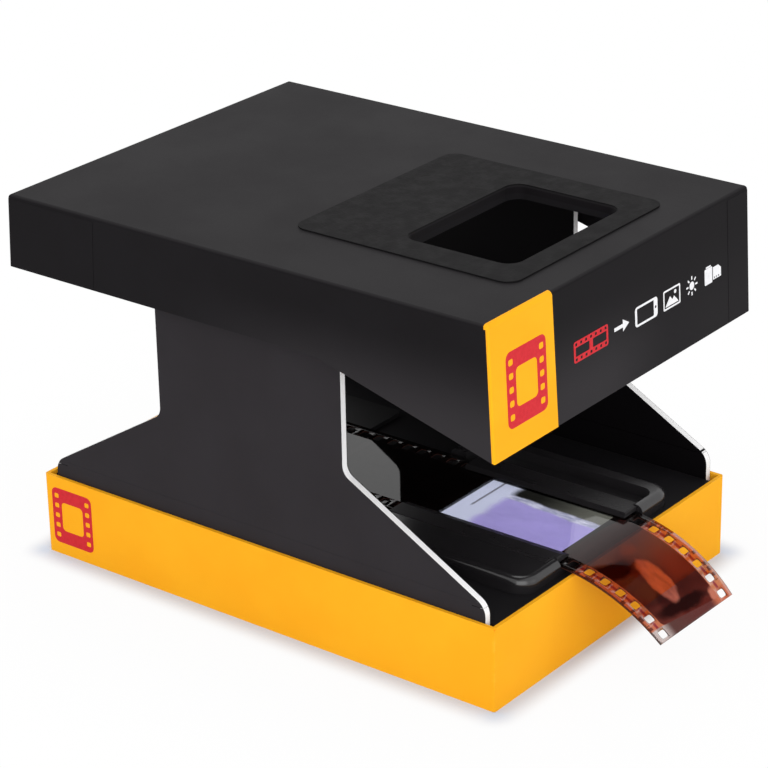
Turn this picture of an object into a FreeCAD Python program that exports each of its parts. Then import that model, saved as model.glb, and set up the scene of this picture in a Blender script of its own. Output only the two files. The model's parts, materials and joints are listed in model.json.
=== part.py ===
import FreeCAD, Part
import math
import os

# Film negative scanner: a foldable board stand over a battery backlight and a moulded film tray.
# Millimetres. X runs across the stand, Y along it with the front at -Y, Z up from the table.
# The origin is the middle of the base's underside.

V = FreeCAD.Vector
X_AXIS = V(1, 0, 0)
Y_AXIS = V(0, 1, 0)
Z_AXIS = V(0, 0, 1)

# One overrun for every cut, and the length below which an edge is left out
overrun = 1.0
shortest_edge = 0.001

# Base tray of covered board
base_width = 100.0
base_length = 142.0
base_wall = 1.0
base_floor = 2.0
base_corner = 0.8

# Deck board inside the base
deck_drop = 1.0
deck_thickness = 2.0
deck_edge_gap = 0.1
riser_thickness = 2.5

# Side panels: a neck on a wide foot, in the plane of Y and Z
panel_thickness = 2.0
panel_wall_gap = 0.2
neck_length = 57.0
neck_centre = 2.1
foot_front_gap = 2.4
foot_back_gap = 2.6
shoulder_rise = 26.6
foot_end_rise = 4.0
right_foot_lift = 1.5
neck_corner = 3.5
foot_corner = 4.5
panel_top_gap = 0.2
crease_gap = 0.15
fold_clearance = 0.6
fold_stack_gap = 0.4

# Lid with its camera window
lid_side_overhang = 4.4
lid_end_overhang = 1.4
lid_lean_share = 0.052
lid_height = 99.2
lid_board = 2.0
lid_side_skirt = 19.2
lid_front_skirt = 32.8
lid_kink_from_front = 48.9
lid_kink_round = 14.0
lid_top_round = 0.9
lid_corner_round = 0.5
liner_thickness = 1.6
liner_gap = 0.3
rail_drop = 7.6
rail_gap = 0.3
rail_end = 3.3
rail_inner_reach = 1.8
pad_thickness = 0.4
pad_width = 64.0
pad_length = 64.0
pad_from_front = 9.2
pad_corner = 4.0
window_width = 46.0
window_length = 32.0
window_from_front = 15.4
window_corner = 4.0
accent_top_width = 24.4
accent_bottom_width = 24.9
accent_thickness = 0.25
accent_wrap = 1.0

# Film and the picture gate
film_width = 35.0
film_thickness = 0.15
film_length = 154.4
film_curl_radius = 43.5
film_curl_length = 34.1
film_float = 0.2
film_side_gap = 0.3
perforation_pitch = 4.75
perforation_across = 2.8
perforation_along = 1.98
perforation_corner = 0.5
perforation_from_edge = 2.0
perforation_from_end = 1.6
gate_width = 24.0
gate_length = 36.0
gate_from_tray_front = 5.0

# Moulded film tray
tray_width = 64.0
tray_behind_gate = 17.9
tray_height = 4.0
tray_from_base_front = 3.6
tray_corner = 5.5
tray_edge_round = 2.0
rim_width = 5.0
rim_front_depth = 2.3
rim_back_depth = 5.0
pocket_floor = 1.2
pocket_corner = 3.5
bed_height = 2.0
curl_from_tray_front = 2.9

# Film guides beside the gate
left_guide_foot_width = 2.7
right_guide_foot_width = 1.2
left_guide_bevel = 2.9
right_guide_bevel = 0.4
guide_bevel_land = 0.3
guide_over_film = 0.25
guide_front_reach = 1.6
guide_behind_gate = 8.9
guide_tongue_gap = 0.6
guide_pocket_gap = 0.2
guide_edge_round = 0.4

# Light box, diffuser and reflector
diffuser_lip = 1.6
diffuser_flange = 1.4
diffuser_step = 0.5
diffuser_gap = 0.2
box_wall = 1.6
box_floor = 1.6
box_gap = 0.4
flange_thickness = 1.6
flange_side_gap = 1.0
flange_front_reach = 0.6
flange_back_reach = 1.5
reflector_wall = 1.2
reflector_gap = 0.6

# LED board
board_side_gap = 0.2
board_end_gap = 1.2
board_thickness = 1.6
board_post_height = 1.4
board_post_radius = 2.2
board_hole_from_side = 4.5
board_hole_from_end = 3.0
led_width = 3.5
led_length = 2.8
led_height = 1.9
led_across_share = 0.5
led_along_share = 0.3
resistor_length = 3.2
resistor_width = 1.6
resistor_height = 0.6
resistor_pitch = 5.5
resistor_from_edge = 3.2

# Screws
screw_head_recess = 0.5
tray_screw_head_radius = 1.9
tray_screw_head_height = 1.5
tray_screw_radius = 1.0
tray_screw_bite = 3.0
tray_screw_from_end = 7.5
board_screw_head_radius = 1.7
board_screw_head_height = 1.2
board_screw_radius = 0.9
board_screw_bite = 2.4
screw_slack = 0.05
screw_pass_gap = 0.3

# Battery holder, two cells in series, and the sliding cover on the deck
cell_radius = 7.25
cell_length = 50.5
nipple_length = 1.0
nipple_radius = 2.75
cell_apart = 0.5
cell_side_gap = 0.25
cell_end_gap = 0.1
cell_from_back = 40.4
cell_headroom = 3.3
holder_wall = 1.4
holder_floor = 1.2
holder_wall_share = 0.76
contact_plate_thickness = 0.5
contact_plate_size = 9.0
contact_spring_depth = 2.8
contact_spring_thickness = 0.4
contact_spring_width = 6.0
cover_thickness = 1.2
cover_side_lap = 6.0
cover_front_lap = 3.1
cover_back_lap = 4.9
cover_corner = 2.0
cover_travel = 10.0
cover_tongue_thickness = 0.8
cover_tongue_from_front = 2.0
cover_tongue_gap = 0.2
cover_tongue_drop = 1.8
cover_hook_width = 8.0
cover_hook_spread = 30.0
cover_hook_stem = 1.2
cover_hook_toe = 2.5
cover_hook_thickness = 0.8
cover_hook_gap = 0.2
cover_ridge_length = 14.0
cover_ridge_width = 0.8
cover_ridge_height = 0.4
cover_ridge_pitch = 2.0
cover_ridge_count = 4
cover_ridge_from_back = 3.0

# Slide switch in the back wall
switch_from_side = 17.0
switch_length = 20.0
switch_depth = 6.4
switch_height = 7.0
switch_bay_height = 4.0
switch_bay_depth = 4.0
switch_wall_gap = 0.2
bezel_height = 8.0
bezel_window_height = 3.0
bezel_thickness = 0.8
bezel_corner = 1.5
slider_foot_length = 4.2
slider_foot_depth = 2.4
slider_stem_length = 3.2
slider_gap = 0.2
slider_proud = 1.2
slider_travel = 4.0
switch_screw_spread = 14.8
switch_screw_head_radius = 1.4
switch_screw_head_height = 0.8
switch_screw_radius = 0.8
switch_screw_bite = 3.0

# Lead wires
wire_radius = 0.6
wire_hole_gap = 0.15
wire_pair_x = 7.0
wire_pair_spread = 4.0
wire_in_box = 6.0
wire_terminal_spread = 3.0
wire_lead_out = 5.0
wire_side_offset = 6.0
wire_cross_y = -6.0
wire_turn_share = 0.45

# Heights, from the cells under the deck up to the lid
cell_axis_z = base_floor + holder_floor + cell_radius
deck_top = cell_axis_z + cell_radius + cell_headroom
deck_bottom = deck_top - deck_thickness
base_height = deck_top + deck_drop
tray_top = deck_top + tray_height
bed_top = deck_top + bed_height
film_bottom = bed_top + film_float
film_top = film_bottom + film_thickness
left_pivot_z = tray_top + fold_clearance
right_pivot_z = left_pivot_z + panel_thickness + fold_stack_gap
foot_end_height = base_height + foot_end_rise
shoulder_height = base_height + shoulder_rise
lid_under = lid_height - lid_board
liner_under = lid_under - liner_thickness
panel_top = liner_under - panel_top_gap

# Faces across the stand
wall_inner_x = base_width / 2 - base_wall
panel_outer_x = wall_inner_x - panel_wall_gap
panel_inner_x = panel_outer_x - panel_thickness
lid_width = base_width + 2 * lid_side_overhang
mouth_half = film_width / 2 + film_side_gap
left_guide_outer = mouth_half + left_guide_foot_width
right_guide_outer = mouth_half + right_guide_foot_width
reflector_half_x = gate_width / 2 + diffuser_lip + diffuser_gap + box_wall + reflector_wall
box_inner_x = reflector_half_x + reflector_gap
box_outer_x = box_inner_x + box_wall
board_half_x = box_inner_x - board_side_gap
opening_half_x = cell_length / 2 + cell_side_gap + (contact_plate_thickness + contact_spring_depth) / 2
holder_outer_x = opening_half_x + holder_wall
switch_x = base_width / 2 - switch_from_side

# Faces along the stand
wall_inner_y = base_length / 2 - base_wall
lid_length = base_length + 2 * lid_end_overhang
lid_front = -lid_length / 2
neck_front = neck_centre - neck_length / 2
neck_back = neck_centre + neck_length / 2
foot_front = -wall_inner_y + foot_front_gap
foot_back = wall_inner_y - foot_back_gap
tray_front = -base_length / 2 + tray_from_base_front
curl_y = tray_front + curl_from_tray_front
gate_front = tray_front + gate_from_tray_front
gate_back = gate_front + gate_length
gate_y = (gate_front + gate_back) / 2
tray_back = gate_back + tray_behind_gate
box_inner_y = gate_length / 2 + reflector_wall
box_outer_y = box_inner_y + box_wall
board_half_y = box_inner_y - board_end_gap
cell_front_y = wall_inner_y - cell_from_back
cell_pitch = 2 * cell_radius + cell_apart
opening_front = cell_front_y - cell_radius - cell_side_gap
opening_back = cell_front_y + cell_pitch + cell_radius + cell_side_gap
cover_front = opening_front - cover_front_lap
cover_back = opening_back + cover_back_lap
bezel_outer_y = base_length / 2 + bezel_thickness

# Heights and places inside the base
switch_z = (base_floor + deck_bottom) / 2
switch_bay_length = slider_foot_length + slider_travel + 2 * slider_gap
board_bottom = base_floor + box_floor + board_post_height
wire_box_z = board_bottom - board_post_height / 2


def box(x0, x1, y0, y1, z0, z1):
    """A block between two corners."""
    return Part.makeBox(x1 - x0, y1 - y0, z1 - z0, V(x0, y0, z0))


def ring(points, corners):
    """A closed wire through points, each corner rounded to its radius, or sharp where that is zero."""
    edges = []
    starts = []
    ends = []
    count = len(points)
    for i in range(count):
        before = (points[i - 1] - points[i]).normalize()
        after = (points[(i + 1) % count] - points[i]).normalize()
        half_turn = before.getAngle(after) / 2
        reach = corners[i] / math.tan(half_turn)
        starts.append(points[i] + before * reach)
        ends.append(points[i] + after * reach)
        if corners[i] > 0:
            bisector = (before + after).normalize()
            to_arc = corners[i] / math.sin(half_turn) - corners[i]
            edges.append(Part.Arc(starts[i], points[i] + bisector * to_arc, ends[i]).toShape())
        else:
            edges.append(None)
    loop = []
    for i in range(count):
        if edges[i] is not None:
            loop.append(edges[i])
        following = starts[(i + 1) % count]
        if ends[i].distanceToPoint(following) > shortest_edge:
            loop.append(Part.makeLine(ends[i], following))
    return Part.Wire(loop)


def facet(points):
    """A flat face with sharp corners."""
    return Part.Face(Part.makePolygon(points + points[:1]))


def plate(x0, x1, y0, y1, z0, z1, corner):
    """A block with its four upright edges rounded."""
    points = [V(x0, y0, z0), V(x1, y0, z0), V(x1, y1, z0), V(x0, y1, z0)]
    return Part.Face(ring(points, [corner] * len(points))).extrude(V(0, 0, z1 - z0))


def rod(radius, start, direction, length):
    """A round bar from a point along a direction."""
    return Part.makeCylinder(radius, length, start, direction)


def group(shapes):
    """Separate solids kept in one node."""
    return Part.makeCompound(shapes)


def mirrored(shape):
    """The same shape on the other side of the middle plane."""
    return shape.mirror(V(0, 0, 0), X_AXIS)


def rounded(shape, radius, wanted):
    """The shape with the edges that wanted() picks rounded."""
    return shape.makeFillet(radius, [edge for edge in shape.Edges if wanted(edge)])


def flat_at(edge, z):
    """True for an edge that lies in the level plane at z."""
    box_of = edge.BoundBox
    return abs(box_of.ZMin - z) < screw_slack and abs(box_of.ZMax - z) < screw_slack


def upright(edge):
    """True for an edge that runs straight up."""
    box_of = edge.BoundBox
    return box_of.XLength < screw_slack and box_of.YLength < screw_slack


def screw(point, direction, head_radius, head_height, radius, length):
    """A pan head screw: the head stands on point against direction, the shank runs along it."""
    head = rod(head_radius, point - direction * head_height, direction, head_height)
    shank = rod(radius, point, direction, length)
    driver = head_radius * 2 / 3
    slot_half = radius / 4
    face = point - direction * head_height
    across = direction.cross(Z_AXIS if abs(direction.z) < abs(direction.y) else X_AXIS).normalize()
    other = direction.cross(across).normalize()
    body = head.fuse(shank)
    for along, side in ((across, other), (other, across)):
        corner_points = [
            face + along * driver + side * slot_half,
            face - along * driver + side * slot_half,
            face - along * driver - side * slot_half,
            face + along * driver - side * slot_half,
        ]
        body = body.cut(facet(corner_points).extrude(direction * screw_head_recess))
    return body


def tube(points, radius):
    """A wire: straight runs joined by the largest tangent arcs that two runs allow."""
    edges = []
    here = points[0]
    for i in range(1, len(points) - 1):
        back = points[i - 1] - points[i]
        ahead = points[i + 1] - points[i]
        reach = wire_turn_share * min(back.Length, ahead.Length)
        half_turn = back.getAngle(ahead) / 2
        start = points[i] + V(back).normalize() * reach
        end = points[i] + V(ahead).normalize() * reach
        bisector = (V(back).normalize() + V(ahead).normalize()).normalize()
        bend = reach * math.tan(half_turn)
        middle = points[i] + bisector * (bend / math.sin(half_turn) - bend)
        edges.append(Part.makeLine(here, start))
        edges.append(Part.Arc(start, middle, end).toShape())
        here = end
    edges.append(Part.makeLine(here, points[-1]))
    path = Part.Wire(edges)
    section = Part.Wire(Part.makeCircle(radius, points[0], points[1] - points[0]))
    return path.makePipeShell([section], True, False)


def save(name, shape):
    """Write one node."""
    shape.exportStep(os.path.join("parts", name + ".step"))


# Base


def base_tray():
    outer = box(-base_width / 2, base_width / 2, -base_length / 2, base_length / 2, 0, base_height)
    outer = rounded(outer, base_corner, upright)
    inner = box(-wall_inner_x, wall_inner_x, -wall_inner_y, wall_inner_y, base_floor, base_height + overrun)
    half_window = switch_bay_length / 2 + switch_wall_gap
    half_window_height = switch_bay_height / 2 + switch_wall_gap
    switch_window = box(
        switch_x - half_window,
        switch_x + half_window,
        wall_inner_y - overrun,
        base_length / 2 + overrun,
        switch_z - half_window_height,
        switch_z + half_window_height,
    )
    tray = outer.cut(inner).cut(switch_window)
    for x in switch_screw_places():
        start = V(x, wall_inner_y - overrun, switch_z)
        tray = tray.cut(rod(switch_screw_radius + screw_slack, start, Y_AXIS, base_wall + 2 * overrun))
    return tray


def deck_panel():
    half_x = panel_inner_x - deck_edge_gap
    half_y = wall_inner_y - deck_edge_gap
    deck = box(-half_x, half_x, -half_y, half_y, deck_bottom, deck_top)
    box_hole = box(
        -box_outer_x - box_gap,
        box_outer_x + box_gap,
        gate_y - box_outer_y - box_gap,
        gate_y + box_outer_y + box_gap,
        deck_bottom - overrun,
        deck_top + overrun,
    )
    battery_hole = box(
        -opening_half_x,
        opening_half_x,
        opening_front,
        opening_back,
        deck_bottom - overrun,
        deck_top + overrun,
    )
    deck = deck.cut(box_hole).cut(battery_hole)
    for place in tray_screw_places():
        start = V(place.x, place.y, deck_bottom - overrun)
        hole = rod(tray_screw_radius + screw_pass_gap, start, Z_AXIS, deck_thickness + 2 * overrun)
        deck = deck.cut(hole)
    return deck


def deck_risers():
    side_outer = panel_inner_x - deck_edge_gap
    side_inner = side_outer - riser_thickness
    end_inner = wall_inner_y - riser_thickness
    switch_side = switch_x - switch_length / 2 - riser_thickness
    left = box(-side_outer, -side_inner, -wall_inner_y, wall_inner_y, base_floor, deck_bottom)
    right = mirrored(left)
    front = box(-side_inner, side_inner, -wall_inner_y, -end_inner, base_floor, deck_bottom)
    back = box(-side_inner, switch_side, end_inner, wall_inner_y, base_floor, deck_bottom)
    return group([left, right, front, back])


# Side panels


def side_profile(lift):
    """The whole outline of a right side panel from the base's floor up, with its foot raised by lift."""
    x = panel_inner_x
    foot_end = foot_end_height + lift
    shoulder = shoulder_height + lift
    points = [
        V(x, foot_front, base_floor),
        V(x, foot_back, base_floor),
        V(x, foot_back, foot_end),
        V(x, neck_back, shoulder),
        V(x, neck_back, panel_top),
        V(x, neck_front, panel_top),
        V(x, neck_front, shoulder),
        V(x, foot_front, foot_end),
    ]
    corners = [0, 0, foot_corner, neck_corner, 0, 0, neck_corner, foot_corner]
    return Part.Face(ring(points, corners)).extrude(V(panel_thickness, 0, 0))


def side_pieces(pivot_z, lift):
    """The fixed hinge strip and the folding panel of a right side, parted at the crease."""
    board = side_profile(lift)
    reach_y = base_length / 2
    x0 = panel_inner_x - overrun
    x1 = panel_outer_x + overrun
    below = box(x0, x1, -reach_y, reach_y, 0, pivot_z - crease_gap)
    above = box(x0, x1, -reach_y, reach_y, pivot_z, lid_height)
    return board.common(below), board.common(above)


# Lid


def skirt_y(z):
    """How far the lid's front and back stand from the middle at a height: they lean out downwards."""
    return lid_length / 2 + lid_lean_share * (lid_height - z)


def skirt_corner(edge):
    """True for an edge where the lid's front or back meets a side."""
    box_of = edge.BoundBox
    return box_of.XLength < screw_slack and box_of.ZLength > box_of.YLength


def lid_outline(grow):
    """The lid's outer form as one solid block, grown outwards by a wrap's thickness."""
    half_x = lid_width / 2 + grow
    top = lid_height + grow
    front_bottom = lid_height - lid_front_skirt
    side_bottom = lid_height - lid_side_skirt
    points = [
        V(-half_x, -skirt_y(front_bottom) - grow, front_bottom),
        V(-half_x, lid_front + lid_kink_from_front, side_bottom),
        V(-half_x, skirt_y(side_bottom) + grow, side_bottom),
        V(-half_x, skirt_y(top) + grow, top),
        V(-half_x, -skirt_y(top) - grow, top),
    ]
    block = Part.Face(ring(points, [0, lid_kink_round, 0, 0, 0])).extrude(V(2 * half_x, 0, 0))
    block = rounded(block, lid_top_round + grow, lambda edge: flat_at(edge, top))
    return rounded(block, lid_corner_round + grow, skirt_corner)


def lid_hollow():
    """The space inside the lid, open downwards."""
    half_x = lid_width / 2 - lid_board
    bottom = lid_height - lid_front_skirt - overrun
    points = [
        V(-half_x, -skirt_y(bottom) + lid_board, bottom),
        V(-half_x, skirt_y(bottom) - lid_board, bottom),
        V(-half_x, skirt_y(lid_under) - lid_board, lid_under),
        V(-half_x, -skirt_y(lid_under) + lid_board, lid_under),
    ]
    return facet(points).extrude(V(2 * half_x, 0, 0))


def camera_window(z0, z1):
    front = lid_front + window_from_front
    return plate(-window_width / 2, window_width / 2, front, front + window_length, z0, z1, window_corner)


def lid_shell():
    window = camera_window(lid_under - overrun, lid_height + overrun)
    return lid_outline(0).cut(lid_hollow()).cut(window)


def lid_liner():
    half_x = lid_width / 2 - lid_board - liner_gap
    half_y = lid_length / 2 - lid_board - liner_gap
    liner = box(-half_x, half_x, -half_y, half_y, liner_under, lid_under)
    return liner.cut(camera_window(liner_under - overrun, lid_under + overrun))


def lid_rail():
    """A right rail: a bar outside the panel's neck and an end block past each of its edges."""
    outer = lid_width / 2 - lid_board
    bar_inner = panel_outer_x + rail_gap
    end_inner = panel_inner_x - rail_inner_reach
    front = neck_front - rail_gap
    back = neck_back + rail_gap
    bottom = liner_under - rail_drop
    rail = box(bar_inner, outer, front - rail_end, back + rail_end, bottom, liner_under)
    front_end = box(end_inner, bar_inner, front - rail_end, front, bottom, liner_under)
    back_end = box(end_inner, bar_inner, back, back + rail_end, bottom, liner_under)
    return rail.fuse([front_end, back_end]).removeSplitter()


def accent_strip():
    """A wrap over the front's left corner. Its right edge leans, so it is wider at the bottom."""
    left = -lid_width / 2
    bottom = lid_height - lid_front_skirt
    top = lid_height + accent_thickness
    side_points = [
        V(left, -skirt_y(bottom) - accent_thickness, bottom),
        V(left, -skirt_y(bottom) + accent_wrap, bottom),
        V(left, -skirt_y(top) + accent_wrap, top),
        V(left, -skirt_y(top) - accent_thickness, top),
    ]
    face_points = [
        V(left, -lid_length, bottom),
        V(left + accent_bottom_width, -lid_length, bottom),
        V(left + accent_top_width, -lid_length, top),
        V(left, -lid_length, top),
    ]
    slab = facet(side_points).extrude(V(accent_bottom_width, 0, 0))
    region = slab.common(facet(face_points).extrude(V(0, lid_length, 0)))
    return region.common(lid_outline(accent_thickness)).cut(lid_outline(0))


def phone_pad():
    front = lid_front + pad_from_front
    top = lid_height + pad_thickness
    pad = plate(-pad_width / 2, pad_width / 2, front, front + pad_length, lid_height, top, pad_corner)
    return pad.cut(camera_window(lid_height - overrun, top + overrun))


# Film tray


def tray_screw_places():
    x = tray_width / 2 - rim_width / 2
    places = []
    for side in (-x, x):
        for y in (tray_front + tray_screw_from_end, tray_back - tray_screw_from_end):
            places.append(V(side, y, 0))
    return places


def film_tray():
    half = tray_width / 2
    body = plate(-half, half, tray_front, tray_back, deck_top, tray_top, tray_corner)
    body = rounded(body, tray_edge_round, lambda edge: flat_at(edge, tray_top))
    pocket_front = tray_front + rim_front_depth
    pocket_back = tray_back - rim_back_depth
    pocket_bottom = deck_top + pocket_floor
    above = tray_top + overrun
    left_side = -left_guide_outer - screw_slack
    right_side = half - rim_width
    pocket = plate(-mouth_half, right_side, pocket_front, pocket_back, pocket_bottom, above, pocket_corner)
    left_pocket = box(left_side, 0, pocket_front, pocket_back, pocket_bottom, above)
    pocket = pocket.fuse(left_pocket).removeSplitter()
    bed = box(
        -mouth_half,
        mouth_half,
        pocket_front - overrun,
        pocket_back + overrun,
        pocket_bottom - overrun,
        bed_top,
    )
    mouths = box(
        -mouth_half,
        mouth_half,
        tray_front - overrun,
        tray_back + overrun,
        bed_top,
        tray_top + overrun,
    )
    body = body.cut(pocket.cut(bed)).cut(mouths)
    half_gate_x = gate_width / 2 + diffuser_gap
    half_gate_y = gate_length / 2 + diffuser_gap
    gate_hole = box(
        -half_gate_x,
        half_gate_x,
        gate_y - half_gate_y,
        gate_y + half_gate_y,
        deck_top - overrun,
        bed_top + overrun,
    )
    seat_x = half_gate_x + diffuser_lip
    seat_y = half_gate_y + diffuser_lip
    seat = box(
        -seat_x,
        seat_x,
        gate_y - seat_y,
        gate_y + seat_y,
        deck_top - overrun,
        deck_top + diffuser_flange,
    )
    body = body.cut(gate_hole).cut(seat)
    for place in tray_screw_places():
        start = V(place.x, place.y, deck_top - overrun)
        hole = rod(tray_screw_radius + screw_slack, start, Z_AXIS, tray_screw_bite + overrun)
        body = body.cut(hole)
    return body


def film_guide(outer, bevel):
    """A right guide: a plate over the film's edge with a bevelled inner edge and a foot in the pocket."""
    inner = gate_width / 2
    tongue_outer = mouth_half - guide_tongue_gap
    under = film_top + guide_over_film
    front = tray_front + guide_front_reach
    pocket_front = tray_front + rim_front_depth + guide_pocket_gap
    back = gate_back + guide_behind_gate
    wing = box(inner, outer, pocket_front, back, under, tray_top)
    tongue = box(inner, tongue_outer, front, pocket_front + overrun, under, tray_top)
    foot_inner = mouth_half + screw_slack
    foot = box(foot_inner, outer, pocket_front, back, deck_top + pocket_floor, under + guide_edge_round)
    slope = [
        V(inner, front, under + guide_bevel_land),
        V(inner + bevel, front, tray_top),
        V(inner, front, tray_top),
    ]
    guide = wing.fuse([tongue, foot]).removeSplitter()
    guide = rounded(guide, guide_edge_round, lambda edge: flat_at(edge, tray_top))
    return guide.cut(facet(slope).extrude(V(0, back - front, 0)))


def diffuser():
    lip_x = gate_width / 2 + diffuser_lip
    lip_y = gate_length / 2 + diffuser_lip
    step_top = deck_top + diffuser_flange
    flange = box(-lip_x, lip_x, gate_y - lip_y, gate_y + lip_y, deck_top, step_top)
    top = step_top + diffuser_step
    lens = box(-gate_width / 2, gate_width / 2, gate_front, gate_back, deck_top, top)
    return flange.fuse(lens).removeSplitter()


# Backlight under the tray


def board_screw_places():
    x = board_half_x - board_hole_from_side
    y = board_half_y - board_hole_from_end
    return [V(sx * x, gate_y + sy * y, 0) for sx in (-1, 1) for sy in (-1, 1)]


def light_box():
    shell = box(-box_outer_x, box_outer_x, gate_y - box_outer_y, gate_y + box_outer_y, base_floor, deck_top)
    flange_half = tray_width / 2 - flange_side_gap
    flange = box(
        -flange_half,
        flange_half,
        tray_front + flange_front_reach,
        tray_back - flange_back_reach,
        deck_bottom - flange_thickness,
        deck_bottom,
    )
    floor_top = base_floor + box_floor
    hollow = box(
        -box_inner_x,
        box_inner_x,
        gate_y - box_inner_y,
        gate_y + box_inner_y,
        floor_top,
        deck_top + overrun,
    )
    body = shell.fuse(flange).cut(hollow)
    for place in board_screw_places():
        post = rod(board_post_radius, V(place.x, place.y, base_floor), Z_AXIS, box_floor + board_post_height)
        body = body.fuse(post)
    for place in board_screw_places():
        start = V(place.x, place.y, board_bottom - board_screw_bite)
        body = body.cut(rod(board_screw_radius + screw_slack, start, Z_AXIS, board_screw_bite + overrun))
    for place in tray_screw_places():
        start = V(place.x, place.y, deck_bottom - flange_thickness - overrun)
        hole = rod(tray_screw_radius + screw_slack, start, Z_AXIS, flange_thickness + 2 * overrun)
        body = body.cut(hole)
    for x in wire_box_places():
        start = V(x, gate_y + box_inner_y - overrun, wire_box_z)
        body = body.cut(rod(wire_radius + wire_hole_gap, start, Y_AXIS, box_wall + 2 * overrun))
    return body.removeSplitter()


def tray_screws():
    head_z = deck_bottom - flange_thickness
    length = deck_top - head_z + tray_screw_bite - screw_pass_gap
    shapes = []
    for place in tray_screw_places():
        point = V(place.x, place.y, head_z)
        head = (tray_screw_head_radius, tray_screw_head_height)
        shapes.append(screw(point, Z_AXIS, head[0], head[1], tray_screw_radius, length))
    return group(shapes)


def reflector():
    """A white open frame that stands on the LED board and holds the diffuser up."""
    outer_y = box_inner_y - screw_slack
    inner_x = reflector_half_x - reflector_wall
    inner_y = outer_y - reflector_wall
    bottom = board_bottom + board_thickness
    frame = box(-reflector_half_x, reflector_half_x, gate_y - outer_y, gate_y + outer_y, bottom, deck_top)
    hollow = box(-inner_x, inner_x, gate_y - inner_y, gate_y + inner_y, bottom - overrun, deck_top + overrun)
    lip_x = gate_width / 2
    lip_y = gate_length / 2
    lip = box(-inner_x, inner_x, gate_y - inner_y, gate_y + inner_y, deck_top - reflector_wall, deck_top)
    lip_hole = box(-lip_x, lip_x, gate_y - lip_y, gate_y + lip_y, bottom, deck_top + overrun)
    return frame.cut(hollow).fuse(lip.cut(lip_hole)).removeSplitter()


def led_board():
    bottom = board_bottom
    top = bottom + board_thickness
    board = box(-board_half_x, board_half_x, gate_y - board_half_y, gate_y + board_half_y, bottom, top)
    for place in board_screw_places():
        start = V(place.x, place.y, bottom - overrun)
        board = board.cut(rod(board_screw_radius + screw_slack, start, Z_AXIS, board_thickness + 2 * overrun))
    return board


def leds():
    bottom = board_bottom + board_thickness
    shapes = []
    for column in (-0.5, 0.5):
        for row in (-1, 0, 1):
            x = column * gate_width * led_across_share
            y = gate_y + row * gate_length * led_along_share
            package = box(
                x - led_width / 2,
                x + led_width / 2,
                y - led_length / 2,
                y + led_length / 2,
                bottom,
                bottom + led_height,
            )
            shapes.append(package)
    return group(shapes)


def board_resistors():
    bottom = board_bottom + board_thickness
    y = gate_y + board_half_y - resistor_from_edge
    shapes = []
    for place in (-1, 0, 1):
        x = place * resistor_pitch
        chip = box(
            x - resistor_width / 2,
            x + resistor_width / 2,
            y - resistor_length / 2,
            y + resistor_length / 2,
            bottom,
            bottom + resistor_height,
        )
        shapes.append(chip)
    return group(shapes)


def board_screws():
    z = board_bottom + board_thickness
    length = board_thickness + board_screw_bite - screw_pass_gap
    down = V(0, 0, -1)
    shapes = []
    for place in board_screw_places():
        point = V(place.x, place.y, z)
        head = (board_screw_head_radius, board_screw_head_height)
        shapes.append(screw(point, down, head[0], head[1], board_screw_radius, length))
    return group(shapes)


# Batteries


def cell_centre_y(index):
    return cell_front_y + index * cell_pitch


def cell_plus_x():
    """Where a cell's nipple ends, short of its contact plate."""
    return opening_half_x - contact_plate_thickness - cell_end_gap


def battery_cell(index):
    """A cell along X. The first has its nipple at +X, the second at -X."""
    tip = cell_plus_x()
    y = cell_centre_y(index)
    start = V(tip - cell_length, y, cell_axis_z)
    can = rod(cell_radius, start, X_AXIS, cell_length - nipple_length)
    nipple_start = V(tip - nipple_length, y, cell_axis_z)
    cell = can.fuse(rod(nipple_radius, nipple_start, X_AXIS, nipple_length))
    return cell if index == 0 else mirrored(cell)


def battery_holder():
    floor_z = base_floor + holder_floor
    top = floor_z + 2 * cell_radius * holder_wall_share
    outer = box(
        -holder_outer_x,
        holder_outer_x,
        opening_front - holder_wall,
        opening_back + holder_wall,
        base_floor,
        top,
    )
    hollow = box(-opening_half_x, opening_half_x, opening_front, opening_back, floor_z, top + overrun)
    return outer.cut(hollow)


def plate_contacts():
    shapes = []
    for index in (0, 1):
        y = cell_centre_y(index)
        half = contact_plate_size / 2
        z = cell_axis_z
        x0 = opening_half_x - contact_plate_thickness
        contact = box(x0, opening_half_x, y - half, y + half, base_floor + holder_floor, z + half)
        shapes.append(contact if index == 0 else mirrored(contact))
    return group(shapes)


def spring_contacts():
    """Two bowed leaf springs, one behind each cell's flat end."""
    shapes = []
    for index in (0, 1):
        y = cell_centre_y(index) - contact_spring_width / 2
        centre = V(-opening_half_x, y, cell_axis_z)
        bow = rod(contact_spring_depth, centre, Y_AXIS, contact_spring_width)
        inside = rod(contact_spring_depth - contact_spring_thickness, centre, Y_AXIS, contact_spring_width)
        behind = box(
            -opening_half_x - contact_spring_depth,
            -opening_half_x,
            y,
            y + contact_spring_width,
            centre.z - contact_spring_depth,
            centre.z + contact_spring_depth,
        )
        leaf = bow.cut(inside).cut(behind)
        shapes.append(leaf if index == 0 else mirrored(leaf))
    return group(shapes)


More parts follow.
